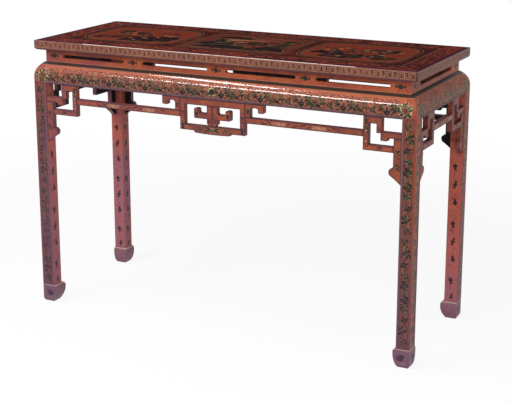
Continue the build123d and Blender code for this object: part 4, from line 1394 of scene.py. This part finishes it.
def sketchLandscape(draw):
    # hills, water and islets with trees
    sketch = newSketch()
    half = picture["centreHalf"]
    addPanel(sketch, squareRing, origin, half, "dusk")
    for hill in picture["hills"]:
        addHill(sketch, *hill, draw, 11)
    for k in range(12):
        x, y = draw.uniform(-120, 40), 52 - 9.5 * k + draw.uniform(-2, 2)
        long = draw.uniform(50, 100)
        addStroke(sketch, [(x, y), (x + long / 2, y + 2), (x + long, y)], [1.5, 5.0, 1.5],
                  draw.choice(("ochre", "gilt", "ground")), brush["under"] + 0.03)
    for foot, wide, high, tint in picture["islets"]:
        addHill(sketch, foot, wide, high, tint, draw, 12)
        addRocks(sketch, (foot[0], foot[1] + 6), 4, wide * 0.13, draw, 0.0, half)
    for foot, high in picture["trees"]:
        addTree(sketch, foot, high, draw)
    return sketch


topVine = {
    "long": 120.0, "count": 3, "half": 15.0, "cell": 15.0, "wave": 8.0, "sway": 0.25, "stem": 2.0,
    "clump": 14.0, "blossom": 0.62, "ruff": (6, 7), "hearts": ("ochre",), "leafLong": 20.0, "leafWide": 6.0,
    "budShare": 0.4, "stemTint": "night", "outlines": ("brown", "ochre", "night"),
    "petalTints": ("ember", "brown", "ember"), "leafTints": ("night", "black", "brown", "black"),
    "smallTints": ("night", "black", "ember", "black"), "budTints": ("orange", "ochre", "night"),
    "in": 43.0 * mm, "end": 66 * mm, "wobble": 3.0 * mm,
}


def paintTop():
    draw = random.Random(5)
    slotName, middle = "top_panel_lacquer", topFaces[0]
    for hand, name in ((-1, "left"), (1, "right")):
        paintRun("top_panel_picture_" + name, sketchLobed(hand, draw), "flat", slotName, middle, 0.0,
                 Up=middle, Wobble=picture["wobble"])
    paintRun("top_panel_picture_centre", sketchLandscape(draw), "flat", slotName, middle, 0.0, Up=middle)
    for number, (side, turn, end, face, reach) in enumerate(eachSide(topFaces)):
        spread = 2 * (reach - topVine["end"])
        count = round(spread / (topVine["long"] * mm))
        sketch = growVine(topVine, 90 + number)
        paintRun("top_border_" + side, sketch, "flat", "top_edge_lacquer", face, turn, Count=count,
                 Spacing=spread / count, Up=topVine["in"], Alternate=1.0, Wobble=topVine["wobble"],
                 Seed=50 + number)
    print("top painted")


paintTop()


# stage, lights and world
stage = {
    "floorSize": 60.0,
    "floorLow": 0.5 * mm,
    "floorWhite": 0.85,
    "glowShare": 0.88,     # how much of the floor's white is its own, near the table and far off
    "glowNear": 0.9,
    "glowFar": 3.0,
    "worldLow": 0.03,      # the studio's light near the horizon, and overhead
    "worldHigh": 0.55,
    "lamps": {
        "frontStrip": {"place": (-1.12, -2.33, 2.39), "size": (1.6, 0.20), "power": 42.0,
                       "aim": (0.1, -0.22, 0.77)},
        "topStrip": {"place": (-1.23, -1.02, 2.95), "size": (1.15, 0.14), "power": 24.0,
                     "aim": (0.0, -0.22, 0.78)},
        "key": {"place": (0.9, -3.5, 2.6), "size": (1.8, 1.8), "power": 60.0, "aim": (0.0, 0.0, 0.5)},
        "fill": {"place": (3.2, -1.8, 1.7), "size": (1.6, 1.6), "power": 28.0, "aim": (0.0, 0.0, 0.5)},
    },
}
white = (1.0, 1.0, 1.0)


def rayKinds(tree):
    # the camera's own rays, and those together with what gloss and clear things show
    rays = put(tree, "ShaderNodeLightPath").outputs
    seen = compute(tree, "MAXIMUM", rays["Is Camera Ray"], rays["Is Glossy Ray"])
    return rays["Is Camera Ray"], compute(tree, "MAXIMUM", seen, rays["Is Transmission Ray"])


def mixShaders(tree, share, first, second):
    return put(tree, "ShaderNodeMixShader", {0: share, 1: first, 2: second}).outputs[0]


def makeFloor():
    size, low = stage["floorSize"], -stage["floorLow"]
    mesh = bpy.data.meshes.new("floor")
    mesh.from_pydata([(-size, -size, low), (size, -size, low), (size, size, low), (-size, size, low)], [],
                     [(0, 1, 2, 3)])
    material, tree, place = newMaterial("paleFloor")
    matt = put(tree, "ShaderNodeBsdfDiffuse", {"Color": (stage["floorWhite"],) * 3}).outputs[0]
    glow = put(tree, "ShaderNodeEmission", {"Color": white, "Strength": 1.0}).outputs[0]
    direct, seen = rayKinds(tree)
    away = put(tree, "ShaderNodeVectorMath", {0: place}, operation="LENGTH").outputs["Value"]
    share = remap(tree, away, stage["glowNear"], stage["glowFar"], stage["glowShare"], 1.0, "SMOOTHSTEP")
    shown = mixShaders(tree, times(tree, seen, share), matt, glow)
    # seen from below the floor is clear, so that the table's underside shows
    under = times(tree, put(tree, "ShaderNodeNewGeometry").outputs["Backfacing"], direct)
    shown = mixShaders(tree, under, shown, put(tree, "ShaderNodeBsdfTransparent").outputs[0])
    put(tree, "ShaderNodeOutputMaterial", {"Surface": shown})
    mesh.materials.append(material)
    link("floor", mesh)


def makeWorld():
    world = bpy.data.worlds.new("studio")
    world.use_nodes = True
    tree = world.node_tree
    tree.nodes.clear()
    high = splitVector(tree, put(tree, "ShaderNodeTexCoord").outputs["Generated"])[2]
    shade = blend(tree, step(tree, high, 0.1, 0.9), (stage["worldLow"],) * 3, (stage["worldHigh"],) * 3)
    colour = blend(tree, rayKinds(tree)[1], shade, white)
    glow = put(tree, "ShaderNodeBackground", {"Color": colour, "Strength": 1.0})
    put(tree, "ShaderNodeOutputWorld", {"Surface": glow.outputs[0]})
    bpy.context.scene.world = world


def makeLamps():
    for name, lamp in stage["lamps"].items():
        light = bpy.data.lights.new(name, "AREA")
        light.shape = "RECTANGLE"
        light.size, light.size_y = lamp["size"]
        light.energy = lamp["power"]
        body = link(name, light)
        body.location = lamp["place"]
        way = Vector(lamp["aim"]) - Vector(lamp["place"])
        body.rotation_euler = way.to_track_quat("-Z", "Y").to_euler()


makeFloor()
makeWorld()
makeLamps()
bpy.context.scene.view_settings.view_transform = "Standard"
for section in sections.values():
    bpy.data.objects.remove(section)
print("stage set")
